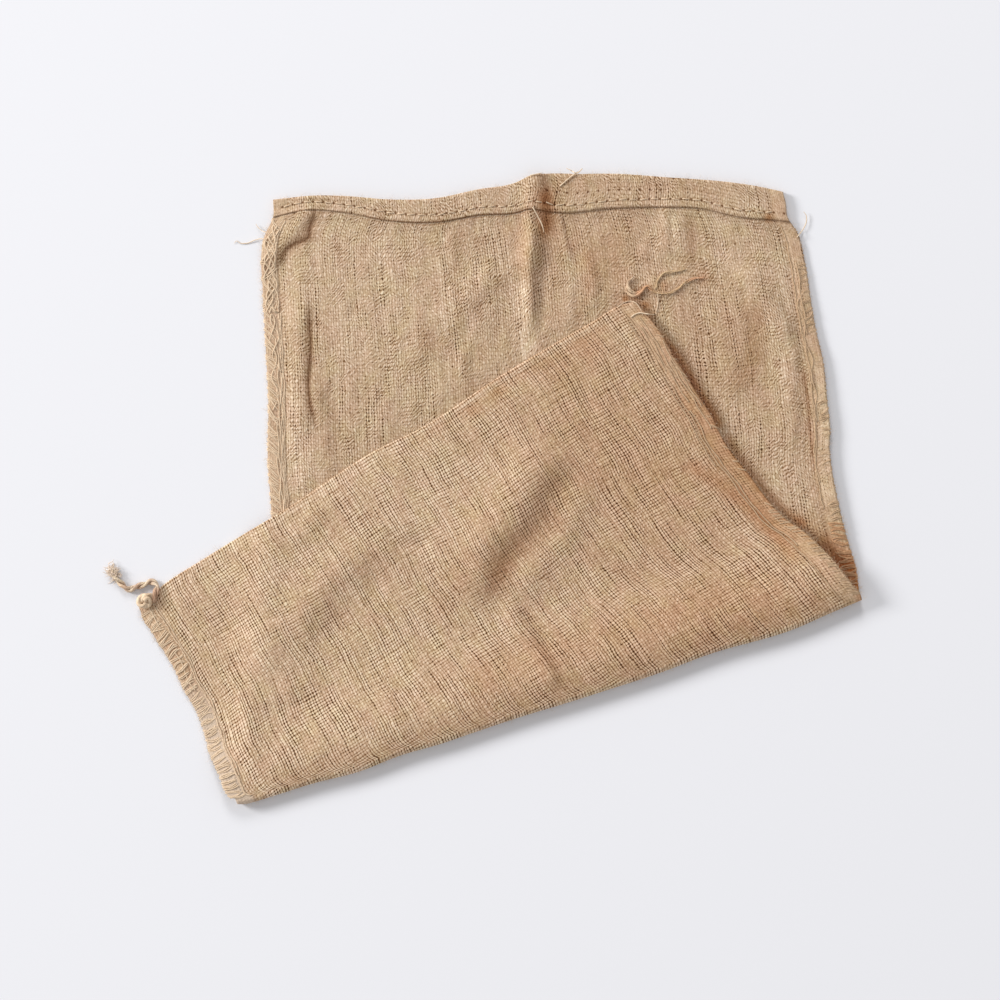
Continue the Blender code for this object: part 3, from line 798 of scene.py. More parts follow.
def seam_lift(table, u, place):
    """How far the right seam stands up from what it lies on, less and less away from it."""
    return smooth_table(table, place) * bell((1 - u) * BAG_WIDTH / SEAM_LIFT_REACH)


def turned_underside(u, w, plan):
    """Height of the turned part's lower skin: on the bag, or down on the ground beside it."""
    out = outside_left_seam(plan)
    rise = folds("turned", plan)
    on_bag = 2 * HALF_BAG + LAY_GAP + rise + EDGE_LIFT * bell(out / EDGE_LIFT_REACH)
    settled = on_bag * (1 - smooth_step((out - DROOP_START) / (DROOP_END - DROOP_START)))
    settled = settled + rise * smooth_step(out / DROOP_END)
    near = 1 - smooth_step(w * turned_length(u) / BEND_SETTLE)
    lifted = fold_swell(u, w) + seam_lift(TURNED_LIFT, u, w)
    return settled + near * (2 * BEND_RADIUS - settled) + lifted


def turned_under(u, w):
    """The front's middle surface on the underside of the turned part."""
    plan = turned_plan(u, w)
    return raised(plan, turned_underside(u, w, plan) + 0.5 * CLOTH)


def turned_top(u, w):
    """The back's middle surface on top of the turned part."""
    plan = turned_plan(u, w)
    length = turned_length(u)
    inner = smooth_step((1 - w) * length / EDGE_FADE) * smooth_step(w * length / EDGE_FADE)
    crinkle = 0.07 * ripples(plan, (-0.5, 0.87), (9, 18), (50, 140), 40, 3)
    crinkle += 0.10 * ripples(plan, (-0.5, 0.87), (18, 40), (40, 90), 20, 4)
    loft = WALL_LOFT + folds("back", plan) + folds("back", plan, FINE_FOLDS)
    loft = (loft + drops("back", plan)) * seam_fade(u)
    loft = np.maximum((loft + crinkle) * inner, SEAM_SLOT - slot_height(u))
    height = turned_underside(u, w, plan) + 1.5 * CLOTH + slot_height(u) + loft + seam_relief(u)
    return raised(plan, height)


# Thread counts, which the weave follows: warps across the bag, wefts along it
WARPS = 220.0
FRONT_WEFT_PITCH = 2.9
BACK_WEFT_PITCH = 2.48
# The columns of both sheets, as shares across the bag: closer together in the seam allowances
inner_share = np.linspace(SEAM_LINE, 1 - SEAM_LINE, 187)
outer_share = np.linspace(0.0, SEAM_LINE, 8)[:-1]
ACROSS = np.concatenate([outer_share, inner_share, 1 - outer_share[::-1]])


def cloth_sheet(name, wall, rows, weft_pitch, finish, stitching=None):
    """A sheet through rows of points, with thread counts and the distance from its seams.

    Also gives the mean length of the cloth along the bag.
    """
    grid = np.concatenate(rows)
    along = travel(grid.swapaxes(0, 1)).T
    u = np.broadcast_to(ACROSS, along.shape)
    threads = np.stack([u * WARPS, along / weft_pitch, np.minimum(u, 1 - u) * BAG_WIDTH], axis=-1)
    sewn = np.full(grid.shape, FAR_OFF)
    if stitching is not None:
        sewn[:len(stitching)] = stitching
    numbers = np.arange(u.size).reshape(u.shape)
    quads = np.stack([numbers[:-1, :-1], numbers[1:, :-1], numbers[1:, 1:], numbers[:-1, 1:]], -1)
    piece = add_piece(name, grid.reshape(-1, 3), [quads.reshape(-1, 4)], finish, "hessian",
                      threads=threads.reshape(-1, 3), marks=cloth_marks(wall, grid),
                      creases=crease_lines(wall, grid[..., :2]), stitching=sewn.reshape(-1, 3))
    thickness = piece.modifiers.new("thickness", "SOLIDIFY")
    thickness.thickness = SHEET * MM
    thickness.offset = 0.0
    return piece, float(along[-1].mean())


HEM_STITCH = 8.2
HEM_ROWS = (  # from and to as shares across, mm above the hem's lower edge at each end
    (0.012, 0.985, 6.4, 7.0),
    (0.53, 0.76, 17.0, 14.0),
)


def row_rise(hem_row, u):
    """How far a row of hem stitches runs above the hem's lower edge."""
    first, last, rise_start, rise_end = hem_row
    return rise_start + (rise_end - rise_start) * (u - first) / (last - first)


def hessian_finish(name, patch_scale, streak_by, drift_by, shake_by, jog_by, slant, lines, pillows,
                   weft_show, pinholes, grain, shift, colours):
    """Plain-woven jute seen from above, thread by thread.

    With u and v the thread counts, shaken a little, the tone is a middle one, plus waves of painted
    shade in the gaps between warps and between wefts, plus a pillow of painted light on each warp
    float where floor(u) + floor(v) is even, less painted dark pinholes where two open gaps cross;
    the jute's own uneven tone from fibres, threads and blotches is added to that.
    """
    made, tree, shader = new_finish(name, 0.95)
    warp, weft, seam = own_vector(tree, "threads")
    gain, stain, pale = own_vector(tree, "marks")
    past, line_dark, flank_shade = own_vector(tree, "creases")
    first_row, stitch_run, second_row = own_vector(tree, "stitching")
    drift = noise(warp, weft, scale=0.05, channels=True)
    shake = noise(warp, weft, scale=0.40, detail=1, channels=True)
    patchy = noise(warp * 1.3, weft * 0.5, scale=patch_scale, detail=2, channels=True)
    blotch = noise(warp, weft, scale=0.16, detail=2, channels=True)
    streak = noise(warp * 0.45, weft * 0.035, 8, detail=2)
    warp_step = noise(warp * 0.95, weft * 0.05)
    weft_step = noise(warp * 0.05, weft * 0.95, 3)
    u = warp + (drift[0] - 0.5) * drift_by + (shake[0] - 0.5) * shake_by + (warp_step - 0.5) * 0.7
    v = weft + (drift[1] - 0.5) * drift_by + (shake[1] - 0.5) * shake_by + (weft_step - 0.5) * 0.6
    cell_u = u.floor()
    jog = noise(cell_u * 2.9, v * 0.05, 6)
    row = v + (jog - 0.5) * jog_by
    cell_v = row.floor()
    off_u, off_v = u.fraction() * 2.0 - 1.0, row.fraction() * 2.0 - 1.0
    gap_v = v.fraction() * 2.0 - 1.0
    round_u, round_row, round_v = off_u * off_u, off_v * off_v, gap_v * gap_v
    over = ((cell_u + cell_v) * 0.5).fraction().between(0.2, 0.3)
    each = noise(cell_u * 3.7, cell_v * 5.3, 2, channels=True)
    lean = blotch[2].between(0.36, 0.60) * 1.7 - 1.2 + (each[1] - 0.5) * 1.4
    tilted = off_u - off_v * lean * slant
    tilted = (tilted * tilted).math("MINIMUM", 1.0)
    warp_float = (tilted * -0.9 + 1.0) * (round_row * -0.75 + 1.0)
    weft_float = (round_row * -0.9 + 1.0) * (round_u * -0.6 + 1.0)
    weft_float = weft_float * weft_show + 0.45 * (1 - weft_show)
    floats = weft_float + (warp_float - weft_float) * over
    warp_patch = patchy[0].between(0.38, 0.62)
    weft_patch = patchy[1].between(0.46, 0.66)
    gap_warp = (u + 0.5).floor()
    gap_weft = (v + 0.5).floor()
    warp_gaps = noise(gap_warp * 7.3, v * 0.055, detail=1)
    weft_gaps = noise(u * 0.10, gap_weft * 5.7, 9, detail=1)
    hole_size = noise(gap_warp * 4.1, gap_weft * 6.7, 4)
    open_warp = (warp_gaps + patchy[0] * 0.5).between(*pinholes[0])
    open_weft = (weft_gaps + patchy[1] * 0.5).between(*pinholes[1])
    corner = round_u.between(0.15, 0.80) * round_v.between(0.15, 0.80)
    hole = corner * (open_warp * 0.8 + hole_size.between(0.45, 0.75) * pinholes[2])
    hole = hole * (open_weft * 0.6 + 0.4)
    warp_wave = (tilted.between(0.0, 1.0) - 0.33) * (warp_patch * lines[1] + lines[0])
    weft_wave = (round_v.between(0.0, 1.0) - 0.33) * (weft_patch * lines[3] + lines[2])
    gap_line = round_u.between(0.3, 1.0) * open_warp * lines[4]
    fibre = noise(warp * 3.4, weft * 2.4, scale=1.3, detail=2)
    thread_tone = noise(cell_u * 3.7, v * 0.08, 5)
    weft_tone = noise(u * 0.08, cell_v * 3.7, 7)
    worn = seam.between(SEAM_ALLOWANCE + 2.4, SEAM_ALLOWANCE - 0.5)
    calm = worn * -0.6 + 1.0
    tone = ((floats - 0.56) * pillows - warp_wave - weft_wave) * calm + shift
    tone = tone + (fibre - 0.5) * grain[0] + (each[0] - 0.5) * grain[1]
    tone = tone + (thread_tone - 0.5) * 0.10 + (weft_tone - 0.5) * 0.08
    tone = tone + (streak - 0.5) * streak_by + (blotch[0] - 0.5) * 0.04
    tone = tone - (gap_line + hole * 0.9) * calm
    colour = ramp(tone, *zip((0.0, 0.25, 0.5, 0.75, 1.0), colours))
    tint = ramp(blotch[1], (0.32, (1, 0.92, 0.96)), (0.5, (1, 1, 1)), (0.68, (0.95, 1, 0.86)))
    colour = blended(colour, tint, 0.45)
    # painted shade in the groove along the seam line
    seam_groove_shade = (seam - (SEAM_ALLOWANCE + 1.0)).size().between(1.8, 0.4)
    # painted shade in the line at the foot of a crease
    foot = past.between(-0.8, 0.8) * past.between(3.4, 1.2) * line_dark
    # painted shade in the stitch holes of both hem rows
    along_stitch = (stitch_run.fraction() - 0.86) * HEM_STITCH
    stitch_hole_shades = [(row_off * row_off + along_stitch * along_stitch).between(1.7, 0.3)
            for row_off in (first_row, second_row)]
    # painted shade in the furrow that the first row of stitches draws in
    furrow_shade = first_row.size().between(2.2, 0.2) * 0.20
    # painted shadow under the hem's lower edge, fainter near the left end and right of the pucker
    above_edge = first_row + HEM_ROWS[0][2] + 0.3
    hem_shadow_line = above_edge.between(1.5, 0.3) * above_edge.between(-2.6, -0.8)
    faint = stitch_run.between(10.5, 7.0) * 0.35 + stitch_run.between(25.0, 28.0) * 0.4
    hem_shadow_line = hem_shadow_line * (faint * -1.0 + 0.85)
    colour = blended(colour, (0.96, 0.90, 0.84), worn * 0.4)
    colour = blended(colour, PALE, pale, "MIX")
    # painted shade of the seam groove, crease feet, steep crease sides, stitch holes, stitch furrow and
    # hem edge; then the orange stain
    for share, dye in (
            (seam_groove_shade * 0.18, (0.45, 0.32, 0.22)), (foot, (0.40, 0.25, 0.15)),
            (flank_shade, (0.60, 0.44, 0.32)), (stitch_hole_shades[0].math("MAXIMUM", stitch_hole_shades[1]) * 0.9, (0.30, 0.19, 0.12)),
            (furrow_shade, (0.60, 0.50, 0.40)), (hem_shadow_line, (0.48, 0.29, 0.165)),
            (stain, (0.88, 0.50, 0.25))):
        colour = blended(colour, dye, share)
    # painted light and shade from the gain: darker and warmer below 1, paler and bluer above; lit brings
    # gain 1 back near the cloth's own colour
    shade = ramp(gain * 0.5, (0, (0.10, 0, 0)), (0.25, (0.36, 0.258, 0.19)), (0.5, (0.5, 0.5, 0.5)),
                 (0.75, (0.70, 0.75, 0.80)))
    colour = blended(colour, shade)
    lit = tree.nodes.new("ShaderNodeVectorMath")
    lit.operation = "MULTIPLY"
    lit.inputs[1].default_value = (1.92, 2.00, 2.13)
    lead(colour, lit.inputs[0])
    lead(lit.outputs[0], shader.inputs["Base Color"])
    relief = floats - hole * 1.5 + fibre * 0.3 + past.between(1.4, -0.8) * line_dark * 2.5
    bump(shader, relief, 0.40, 0.6)
    return made


PALE = (0.64, 0.51, 0.39)  # the cloth of the left seams, seen between their stitches
# Painted light and shade by wall, with some of the cloth's own uneven tone: x, y, radius, share
# of light added or taken; the small dark spots by the twines and the flap's tip are painted shadows
SHADE_AND_TONE_SPOTS = {
    "front": (
        (100.8, 151.2, 2.6, -0.6), (109.6, 153.4, 5, -0.4), (116.8, 144.8, 4.8, -0.55),
        (121.6, 137, 3.4, -0.3), (131.2, 161.6, 4, -0.35), (131.6, 154.6, 3.6, -0.25),
        (260, -46, 8, -0.3), (271, -58, 8, -0.3), (-119, 159, 70, 0.07), (66, 190, 34, -0.05),
        (-163, 20, 22, 0.13), (173, 107, 60, -0.11), (88, 187, 32, -0.15), (36.5, 246, 6, 0.12),
        (36.5, 229, 6, -0.16), (-47.2, 212.4, 4, -0.2), (7.2, 207, 6, -0.14), (-55, 113, 8, -0.12),
        (-44, 116, 6, -0.1), (-25.6, 81, 8, -0.12), (-15, 108, 7, -0.1), (-113.6, 142.8, 6, -0.12),
        (202, 224, 14, 0.12), (215.2, 215.6, 4.4, -0.55)),
    "back": (
        (0, -150, 60, -0.04), (145, -25, 110, -0.15), (73, 63, 70, -0.14), (73, 109, 14, -0.14),
        (49, 91, 12, -0.1), (132, 8, 20, -0.07), (-79, 46, 6, -0.16), (-20, 61, 6, -0.2),
        (0, 76, 7, -0.16), (-141.6, -97, 18, -0.08), (-97, -56, 20, -0.07), (-8, -24, 18, -0.08),
        (-187, -142, 14, 0.08), (-218, -110, 18, -0.08), (284.5, -87, 7, 0.25)),
}
# Bands of painted light and shade likewise, among them the painted shadow beside the turned part's
# right edge and painted highlights along the fold and the closed end: radius, share, path
LIGHT_AND_SHADE_BANDS = {
    "back": (
        (7, -0.2, (
            (156.8, 14.8), (172.8, 4.4), (188.8, -6.8), (204.8, -21.2), (220.8, -38.8), (232.8, -53.2))),
        (6, 0.1, ((196.8, -35.6), (212.8, -51.6), (228.8, -73.2), (240.8, -90.8))),
        (9, -0.11, ((-170.9, -233.2), (-61.3, -197.4), (13.4, -172.9))),
        (12, -0.14, ((28.1, -167.1), (137.7, -131.2))),
        (14, -0.19, ((157, -122.8), (251.7, -91.8))),
        (2.4, 0.24, (
            (-183.1, -246.7), (-112.5, -226.2), (-58, -207.3), (41.7, -175.2), (131.6, -146.4),
            (165.9, -133.1), (236.2, -112.1), (265.2, -99.7))),
        (3, -0.25, (
            (251, -44), (231, -27.6), (212, -6.4), (187, 27), (170.6, 56), (150, 89), (129.7, 122.5),
            (113, 144))),
        (12, -0.13, ((-44, -92), (-28, -60))),
        (9, -0.13, ((-4, -72), (8, -56))),
        (9, 0.09, ((33, -22), (36, -12))),
        (2.2, 0.19, (
            (-267, -82.4), (-227, -56.4), (-179, -27), (-119, 10.6), (-39, 59.4), (40.8, 108.2),
            (106, 145.1))),
        (7, -0.06, ((-260, -118), (-247, -150), (-238, -174))),
        (12, -0.17, ((226, -38), (205, -8), (186, 14), (168, 42), (150, 66))),
        (7, -0.14, ((-70, 38), (50, 112), (96, 139))),
        (18, -0.15, ((-15, -153), (49, -129), (113, -109), (177, -89), (233, -73)))),
    "front": (
        (6, 0.05, ((-150, 224.5), (-99, 222), (-50, 222), (-17.6, 229))),
        (7, -0.08, ((50, 243.5), (90, 243), (137, 240), (186, 236))),
        (12, -0.06, ((44, 240), (46, 190), (42, 130))),
        (7, -0.38, ((37, 233), (38, 214), (37, 208))),
        (7, 0.33, ((19, 158), (21, 136), (24, 106))),
        (6, -0.14, ((19, 216), (19.6, 190), (20, 166))),
        (5, -0.12, ((36, 212), (34.5, 200))),
        (4, 0.15, ((55.2, 184), (56, 118))),
        (5, -0.13, ((70.4, 186), (74.4, 170), (71.2, 156), (64.8, 138))),
        (5, 0.08, ((74.4, 222), (75.2, 198))),
        (3.4, 0.16, ((140, 222), (139.6, 172))),
        (4.4, -0.13, ((153, 212), (153.6, 182))),
        (4, -0.08, ((-33.6, 206), (-33, 172))),
        (5, 0.06, ((-92, 196), (-84, 160), (-80, 90))),
        (8, 0.1, ((182, 185), (206, 164), (219, 150), (225, 113), (230, 76))),
        (9, -0.13, ((206, 138), (203, 118), (199, 98), (193, 86))),
        (7, 0.2, ((256, 92), (262, 40), (266, -4))),
        (4, -0.13, ((244.4, 88), (249.4, 40), (254.4, -10))),
        (5, 0.16, ((221, 186), (227, 150), (232, 108))),
        (6, 0.12, ((-168, 172), (-168, 140))),
        (6, 0.1, ((-167, 70), (-167, 30))),
        (4.5, -0.6, ((118.4, 131.4), (138.4, 109.2), (152.8, 86.8), (165.6, 66), (174, 52))),
        (4.5, -0.36, ((184, 38), (191.2, 26), (202.4, 10), (215.2, -6), (228, -18.8), (240.8, -28.4))),
        (14, -0.31, ((246, -34), (280, -68)))),
}
# Orange stain: x, y, radius, strength
STAINS = {
    "front": (
        (271, -55, 7, 0.4), (279, -65, 10, 1), (285, -77, 9, 1), (122, 158, 5, 0.2),
        (164, 167, 6, 0.3)),
    "back": ((288, -87, 4.5, 0.4),),
}


def cloth_marks(wall, points):
    """Gain of painted light and shade 1 + sum of share * exp(-(distance / radius)^2), stain likewise,
    and paleness.

    The paleness is that of the left seam, and grows towards the closed end.
    """
    gain = np.ones(points.shape[:-1])
    stain = np.zeros_like(gain)
    for x, y, radius, share in SHADE_AND_TONE_SPOTS[wall]:
        gain += share * bell(np.hypot(points[..., 0] - x, points[..., 1] - y) / radius)
    for radius, share, path in LIGHT_AND_SHADE_BANDS[wall]:
        distance = path_distance(points[..., :2], path)[0]
        gain += share * bell(distance / radius)
    for x, y, radius, strength in STAINS[wall]:
        spot = bell(np.hypot(points[..., 0] - x, points[..., 1] - y) / radius)
        stain = np.maximum(stain, strength * spot)
    pale = 0.08 + 0.64 * smooth_step((-140 - points[..., 1]) / 50)
    pale = pale * smooth_step((SEAM_ALLOWANCE + 2.0 - ACROSS * BAG_WIDTH) / 4.0)
    return np.stack([gain, stain, pale], axis=-1).reshape(-1, 3)


bend_angles = np.linspace(0.0, np.pi, 11)[1:-1, None]
across_rows = ACROSS[None, :]
hem_width = smooth_table(HEM_WIDTH, across_rows)
full_length = wall_length(across_rows)
flap_length = turned_length(across_rows)
JOIN = 12.0  # how far before the closed end the two sheets meet, on the underside


def half_turn(first_row, last_row, outward, count):
    """Rows of cloth between two rows that lie back to back.

    Each is the middle + half the way from last to first * cos a + outward * sin a.
    """
    angles = np.linspace(0.0, np.pi, count)[1:-1, None, None]
    half = (first_row - last_row) / 2
    return (first_row + last_row) / 2 + half * np.cos(angles) + np.array(outward) * np.sin(angles)


def shares(count, first=0.0, last=1.0):
    """Even steps from first to last, as a column."""
    return np.linspace(first, last, count)[:, None]


hem_rows = front_hem(across_rows, MOUTH_INSET + (hem_width - MOUTH_INSET) * shares(11, 1.0, 0.0))
mouth_run = travel(edge_point("mouth", ACROSS))
near_hem = MOUTH_INSET + (hem_width - 1 - MOUTH_INSET) * shares(9)
wall_rows = front_wall(across_rows, near_hem)
past_hem = -1 + (full_length - hem_width + 1) * shares(158)[1:]
rest_rows = front_wall(across_rows, hem_width + past_hem)
turn_rows = half_turn(hem_rows[-1], wall_rows[0], (0, MOUTH_RADIUS, 0), 6)
hidden = np.full((len(turn_rows) + len(wall_rows), len(ACROSS)), FAR_OFF)
hem_rise = np.concatenate([(hem_width - MOUTH_INSET) * shares(11), hidden, -past_hem])
mended = (across_rows > HEM_ROWS[1][0]) & (across_rows < HEM_ROWS[1][1]) & (hem_rise > 0)
stitching = np.stack([hem_rise - row_rise(HEM_ROWS[0], across_rows),
                      np.broadcast_to(mouth_run / HEM_STITCH, hem_rise.shape),
                      np.where(mended, hem_rise - row_rise(HEM_ROWS[1], across_rows), FAR_OFF)], -1)
inner_bend = bend(across_rows, bend_angles, BEND_RADIUS - (SLOT + CLOTH) / 2)
under_rows = turned_under(across_rows, shares(34) * (1 - JOIN / flap_length))
front_finish = hessian_finish(
    "worn_hessian", patch_scale=0.085, streak_by=0.18, drift_by=1.6, shake_by=0.7, jog_by=1.6,
    slant=1.0, lines=(0.06, 0.20, 0.0, 0.06, 0.06), pillows=0.36, weft_show=0.0,
    pinholes=((0.84, 0.92), (0.45, 0.80), 0.45), grain=(0.42, 0.26), shift=0.612,
    colours=((0.070, 0.026, 0.008), (0.225, 0.115, 0.050), (0.470, 0.310, 0.185),
             (0.690, 0.510, 0.350), (0.870, 0.705, 0.530)))
front_sheet = cloth_sheet(
    "sack_front", "front", [hem_rows, turn_rows, wall_rows, rest_rows, inner_bend, under_rows],
    FRONT_WEFT_PITCH, front_finish, stitching)

end_under = turned_under(across_rows, 1 - (1 - shares(6)) * JOIN / flap_length)
top_rows = turned_top(across_rows, shares(128, 1.0, 0.0))
end_bulge = np.append(END_OUTWARD, 0.0) * (HALF_BAG - SHEET / 2)
end_rows = half_turn(end_under[-1], top_rows[0], end_bulge, 8)
outer_bend = bend(across_rows, bend_angles[::-1], BEND_RADIUS + (SLOT + CLOTH) / 2)
ground_rows = back_wall(across_rows, hem_width + (full_length - hem_width) * shares(40, 1.0, 0.0))
back_hem_wall = back_wall(across_rows, MOUTH_INSET + (hem_width - MOUTH_INSET) * shares(6, 1, 0)[1:])
back_hem = back_hem_wall[::-1].copy()
back_hem[..., 2] -= CLOTH
back_turn = half_turn(back_hem_wall[-1], back_hem[0], (0, MOUTH_RADIUS, 0), 6)
back_finish = hessian_finish(
    "open_hessian", patch_scale=0.15, streak_by=0.09, drift_by=1.1, shake_by=0.55, jog_by=0.8,
    slant=0.3, lines=(0.11, 0.37, 0.06, 0.36, 0.16), pillows=0.42, weft_show=0.4,
    pinholes=((0.76, 0.88), (0.40, 0.75), 0.50), grain=(0.54, 0.36), shift=0.662,
    colours=((0.070, 0.026, 0.008), (0.215, 0.108, 0.046), (0.440, 0.278, 0.160),
             (0.650, 0.455, 0.295), (0.850, 0.665, 0.475)))
back_sheet = cloth_sheet(
    "sack_back", "back", [end_under, end_rows, top_rows, outer_bend, ground_rows, back_hem_wall,
                          back_turn, back_hem], BACK_WEFT_PITCH, back_finish)
for (sheet, length), below in ((front_sheet, "sack_back"), (back_sheet, "floor")):
    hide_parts("sack")

# Side seams: raw edges of both walls held together by overedge stitches in thick jute yarn, with a
# two-ply chain along the seam line. The stitches lie square to the edge, slant or run almost
# along it, as the machine and the pull of the cloth left them.
SEWING_YARN = 0.95  # thickness
CHAIN_RADIUS, CHAIN_LAY = 0.72, 6.5
CHAIN_END = 262.0  # mm along a seam from the mouth, where its chain goes under the turned part
# Each seam: side, wall, from and to in mm along it, spacing, slant of a stitch along the seam,
# reach as a share of the allowance, share of the yarn's thickness, how far the stitches sink in
SEAMS = {
    "left_mouth": ("left", "under", 18, 92, 8, 13, 1, 1.2, 0.3),
    "left_under": ("left", "under", 92, 262, 4.6, 9, 0.66, 1.2, 0.3),
    "right_under": ("right", "under", 30, 272, 4.6, 4, 0.62, 0.8, 0.6),
    "stained_under": ("right", "under", 272, 326, 2.5, 1.6, 0.85, 0.75, 0.15),
    "left_turned": ("left", "turned", 1, 172, 3.1, 2.4, 0.86, 1.1, 0.35),
    "right_turned": ("right", "turned", 1, 100, 3, 4, 0.46, 0.75, 0.4),
    "right_tip": ("right", "turned", 100, 290, 14, 5, 0.3, 0.7, 0.7),
}
# Threads that run along a seam: seam, share of the allowance, from and to in mm, sway as a share
LONG_THREADS = (
    ("right_tip", 0.55, 228, 286, 0.03), ("right_tip", 0.75, 206, 278, 0.03),
    ("right_tip", 0.9, 236, 290, 0.03), ("right_turned", 1.1, 2, 292, 0.03),
    ("right_tip", 0.4, 180, 244, 0.05), ("right_tip", 1.32, 150, 286, 0.03),
    ("right_tip", 0.2, 200, 262, 0.03), ("right_turned", 0.92, 60, 200, 0.03),
    ("left_turned", 1.14, 20, 168, 0.03), ("left_turned", 0.55, 96, 132, 0.05),
    ("left_mouth", 0.42, 22, 92, 0.26), ("left_mouth", 0.56, 20, 90, 0.3),
    ("left_mouth", 0.64, 26, 92, 0.26), ("left_mouth", 0.78, 22, 92, 0.2),
    ("left_mouth", 0.5, 30, 92, 0.34), ("left_mouth", 0.7, 34, 92, 0.3),
    ("left_under", 0.5, 92, 170, 0.2), ("left_under", 0.66, 92, 140, 0.24),
    ("left_under", 1.1, 92, 262, 0.03), ("left_under", 0.88, 100, 262, 0.05),
    ("left_under", 0.76, 112, 262, 0.06), ("left_under", 0.66, 150, 256, 0.07),
    ("left_under", 0.94, 140, 262, 0.05), ("right_under", 0.62, 60, 120, 0.05),
    ("right_under", 0.8, 90, 190, 0.12), ("right_under", 0.95, 110, 240, 0.06))
SEAM_OUTWARD = {
    ("left", "under"): level_normal("fold_left", "mouth_left"),
    ("right", "under"): level_normal("mouth_right", "fold_right"),
    ("left", "turned"): level_normal("fold_left", "end_left"),
    ("right", "turned"): level_normal("end_right", "fold_right"),
}
# A stitch from the seam line over the edge: share of the allowance, share of slant, lift
STITCH = np.array((
    (1.04, 0.50, -0.7), (1.00, 0.48, 0.1), (0.90, 0.42, 0.40), (0.70, 0.25, 0.45),
    (0.45, 0.00, 0.42), (0.20, -0.25, 0.38), (0.05, -0.42, 0.25), (-0.02, -0.48, -0.35),
    (-0.02, -0.50, -1.1), (0.06, -0.50, -1.8)))


def seam_surface(side, wall, inward, along):
    """Points on the upper face of a seam: inward is a share of its allowance from the edge."""
    u = np.clip(inward, 0.0, None) * SEAM_LINE
    u = u if side == "left" else 1 - u
    if wall == "under":
        points = front_wall(u, along)
    else:
        points = turned_top(u, along / turned_length(0.0 if side == "left" else 1.0))
    points[..., 2] += SHEET / 2
    return points


def overedge(name, seed):
    """The stitches of one seam: from the seam line across the allowance and over the edge."""
    side, wall, first, last, spacing, slant, reach, thick, sink = SEAMS[name]
    random = np.random.default_rng(seed)
    count = int((last - first) / spacing)
    places = first + spacing * (np.arange(count) + 0.5)
    places = places + 0.3 * spacing * np.sin(2.1 * places / spacing)
    places = places + random.normal(0.0, 0.7, count)
    sunk = sink * smooth_step(0.5 + np.sin(places / 9.0 + seed) * np.sin(places / 23.0 + 2 * seed))
    sunk = np.repeat(sunk + random.uniform(0.0, sink / 2, count), 2)
    places = np.stack([places - 0.52 * thick, places + 0.52 * thick], axis=1).ravel()
    count = len(places)
    leans = slant * np.repeat(random.uniform(0.6, 1.25, count // 2), 2)
    leans = leans + np.repeat(random.normal(0.0, 1.6, count // 2), 2)
    leans = leans + random.normal(0.0, 0.3, count)
    bows = np.repeat(random.normal(0.0, 2.6 if name == "left_mouth" else 0.9, count // 2), 2)
    if name == "left_mouth":
        leans = leans * np.where(np.arange(count) // 2 % 2 == 1, -0.9, 1.0)
    inward = STITCH[:, 0] * reach * random.uniform(0.85, 1.08, count)[:, None]
    along = places[:, None] + leans[:, None] * STITCH[:, 1]
    along = along + bows[:, None] * (1 - (2 * STITCH[:, 0] - 1) ** 2)
    along = np.clip(along + 0.35 * np.sin(6 * inward + places[:, None]), first - 4, last + 4)
    routes = seam_surface(side, wall, inward, along)
    outside = (STITCH[:, 0] < 0)[None, :, None]
    routes[..., :2] += np.where(outside, SEAM_OUTWARD[side, wall] * 0.35, 0.0)
    routes[..., 2] += STITCH[:, 2] * random.uniform(0.8, 1.1, count)[:, None] - sunk[:, None]
    routes[..., 2] = np.maximum(routes[..., 2], SEWING_YARN / 2)
    radii = SEWING_YARN / 2 * thick * random.uniform(0.75, 1.15, (count, 1)) * np.ones(len(STITCH))
    return strands(routes, radii, 6)


def chain(name, seed):
    """The two-ply chain along one seam line, now lying on the cloth and now sunk into it."""
    side, wall, first, last = SEAMS[name][:4]
    along = np.arange(first, min(last, CHAIN_END), 0.7)
    inward = 1.0 + 0.022 * np.sin(along / 3.1 + seed) + 0.015 * np.sin(along / 1.3)
    route = seam_surface(side, wall, inward, along)
    route[:, 2] += 0.22 + 0.28 * np.sin(along / 4.3 + seed) * np.sin(along / 11.0)
    return strands(route[None], np.full((1, len(along)), CHAIN_RADIUS), 10, plies=2, lay=CHAIN_LAY)


def long_thread(name, inward, first, last, sway_by):
    """One slack thread along a seam, swaying from side to side."""
    side, wall = SEAMS[name][:2]
    along = np.arange(first, last, 1.2)
    sway = sway_by * np.sin(along / 4.6 + 23 * inward) + 0.012 * np.sin(along / 2.1)
    route = seam_surface(side, wall, inward + sway, along)
    route[:, 2] += 0.3 + (0.2 + sway_by) * np.sin(along / 3.7 + 11 * inward)
    return strands(route[None], np.full((1, len(along)), 0.47 + 0.5 * sway_by), 6)


sewing_finish = yarn_finish("sewing_yarn", (0.37, 0.245, 0.15), (0.86, 0.69, 0.51), 0.08)
rust_finish = yarn_finish("rusty_sewing_yarn", (0.18, 0.08, 0.035), (0.70, 0.42, 0.24), 0.08)
right_finish = yarn_finish("right_sewing_yarn", (0.27, 0.165, 0.09), (0.68, 0.50, 0.335), 0.08)
chained = ("left_mouth", "left_under", "right_under", "left_turned")
for side, finish in (("left", sewing_finish), ("right", right_finish)):
    stitches = joined([overedge(name, 20 + n) for n, name in enumerate(SEAMS)
                       if SEAMS[name][0] == side and name != "stained_under"])
    add_strands(side + "_seam_stitches", stitches, finish)
    chains = joined([chain(name, n) for n, name in enumerate(chained) if SEAMS[name][0] == side]
                    + [long_thread(*row) for row in LONG_THREADS if SEAMS[row[0]][0] == side])
    add_strands(side + "_seam_chains", chains, finish)
add_strands("rusty_stitches", overedge("stained_under", 25), rust_finish, "stained_jute_twine")

# Mouth hem: the cloth turned outwards and held by one row of running stitches near its lower edge;
# a short second row where the hem was mended, right of the pucker, shows only as its holes, painted
# dark.
HEM_GAP = 0.28  # share of the stitch length that runs under the cloth
HEM_THREAD = 0.9


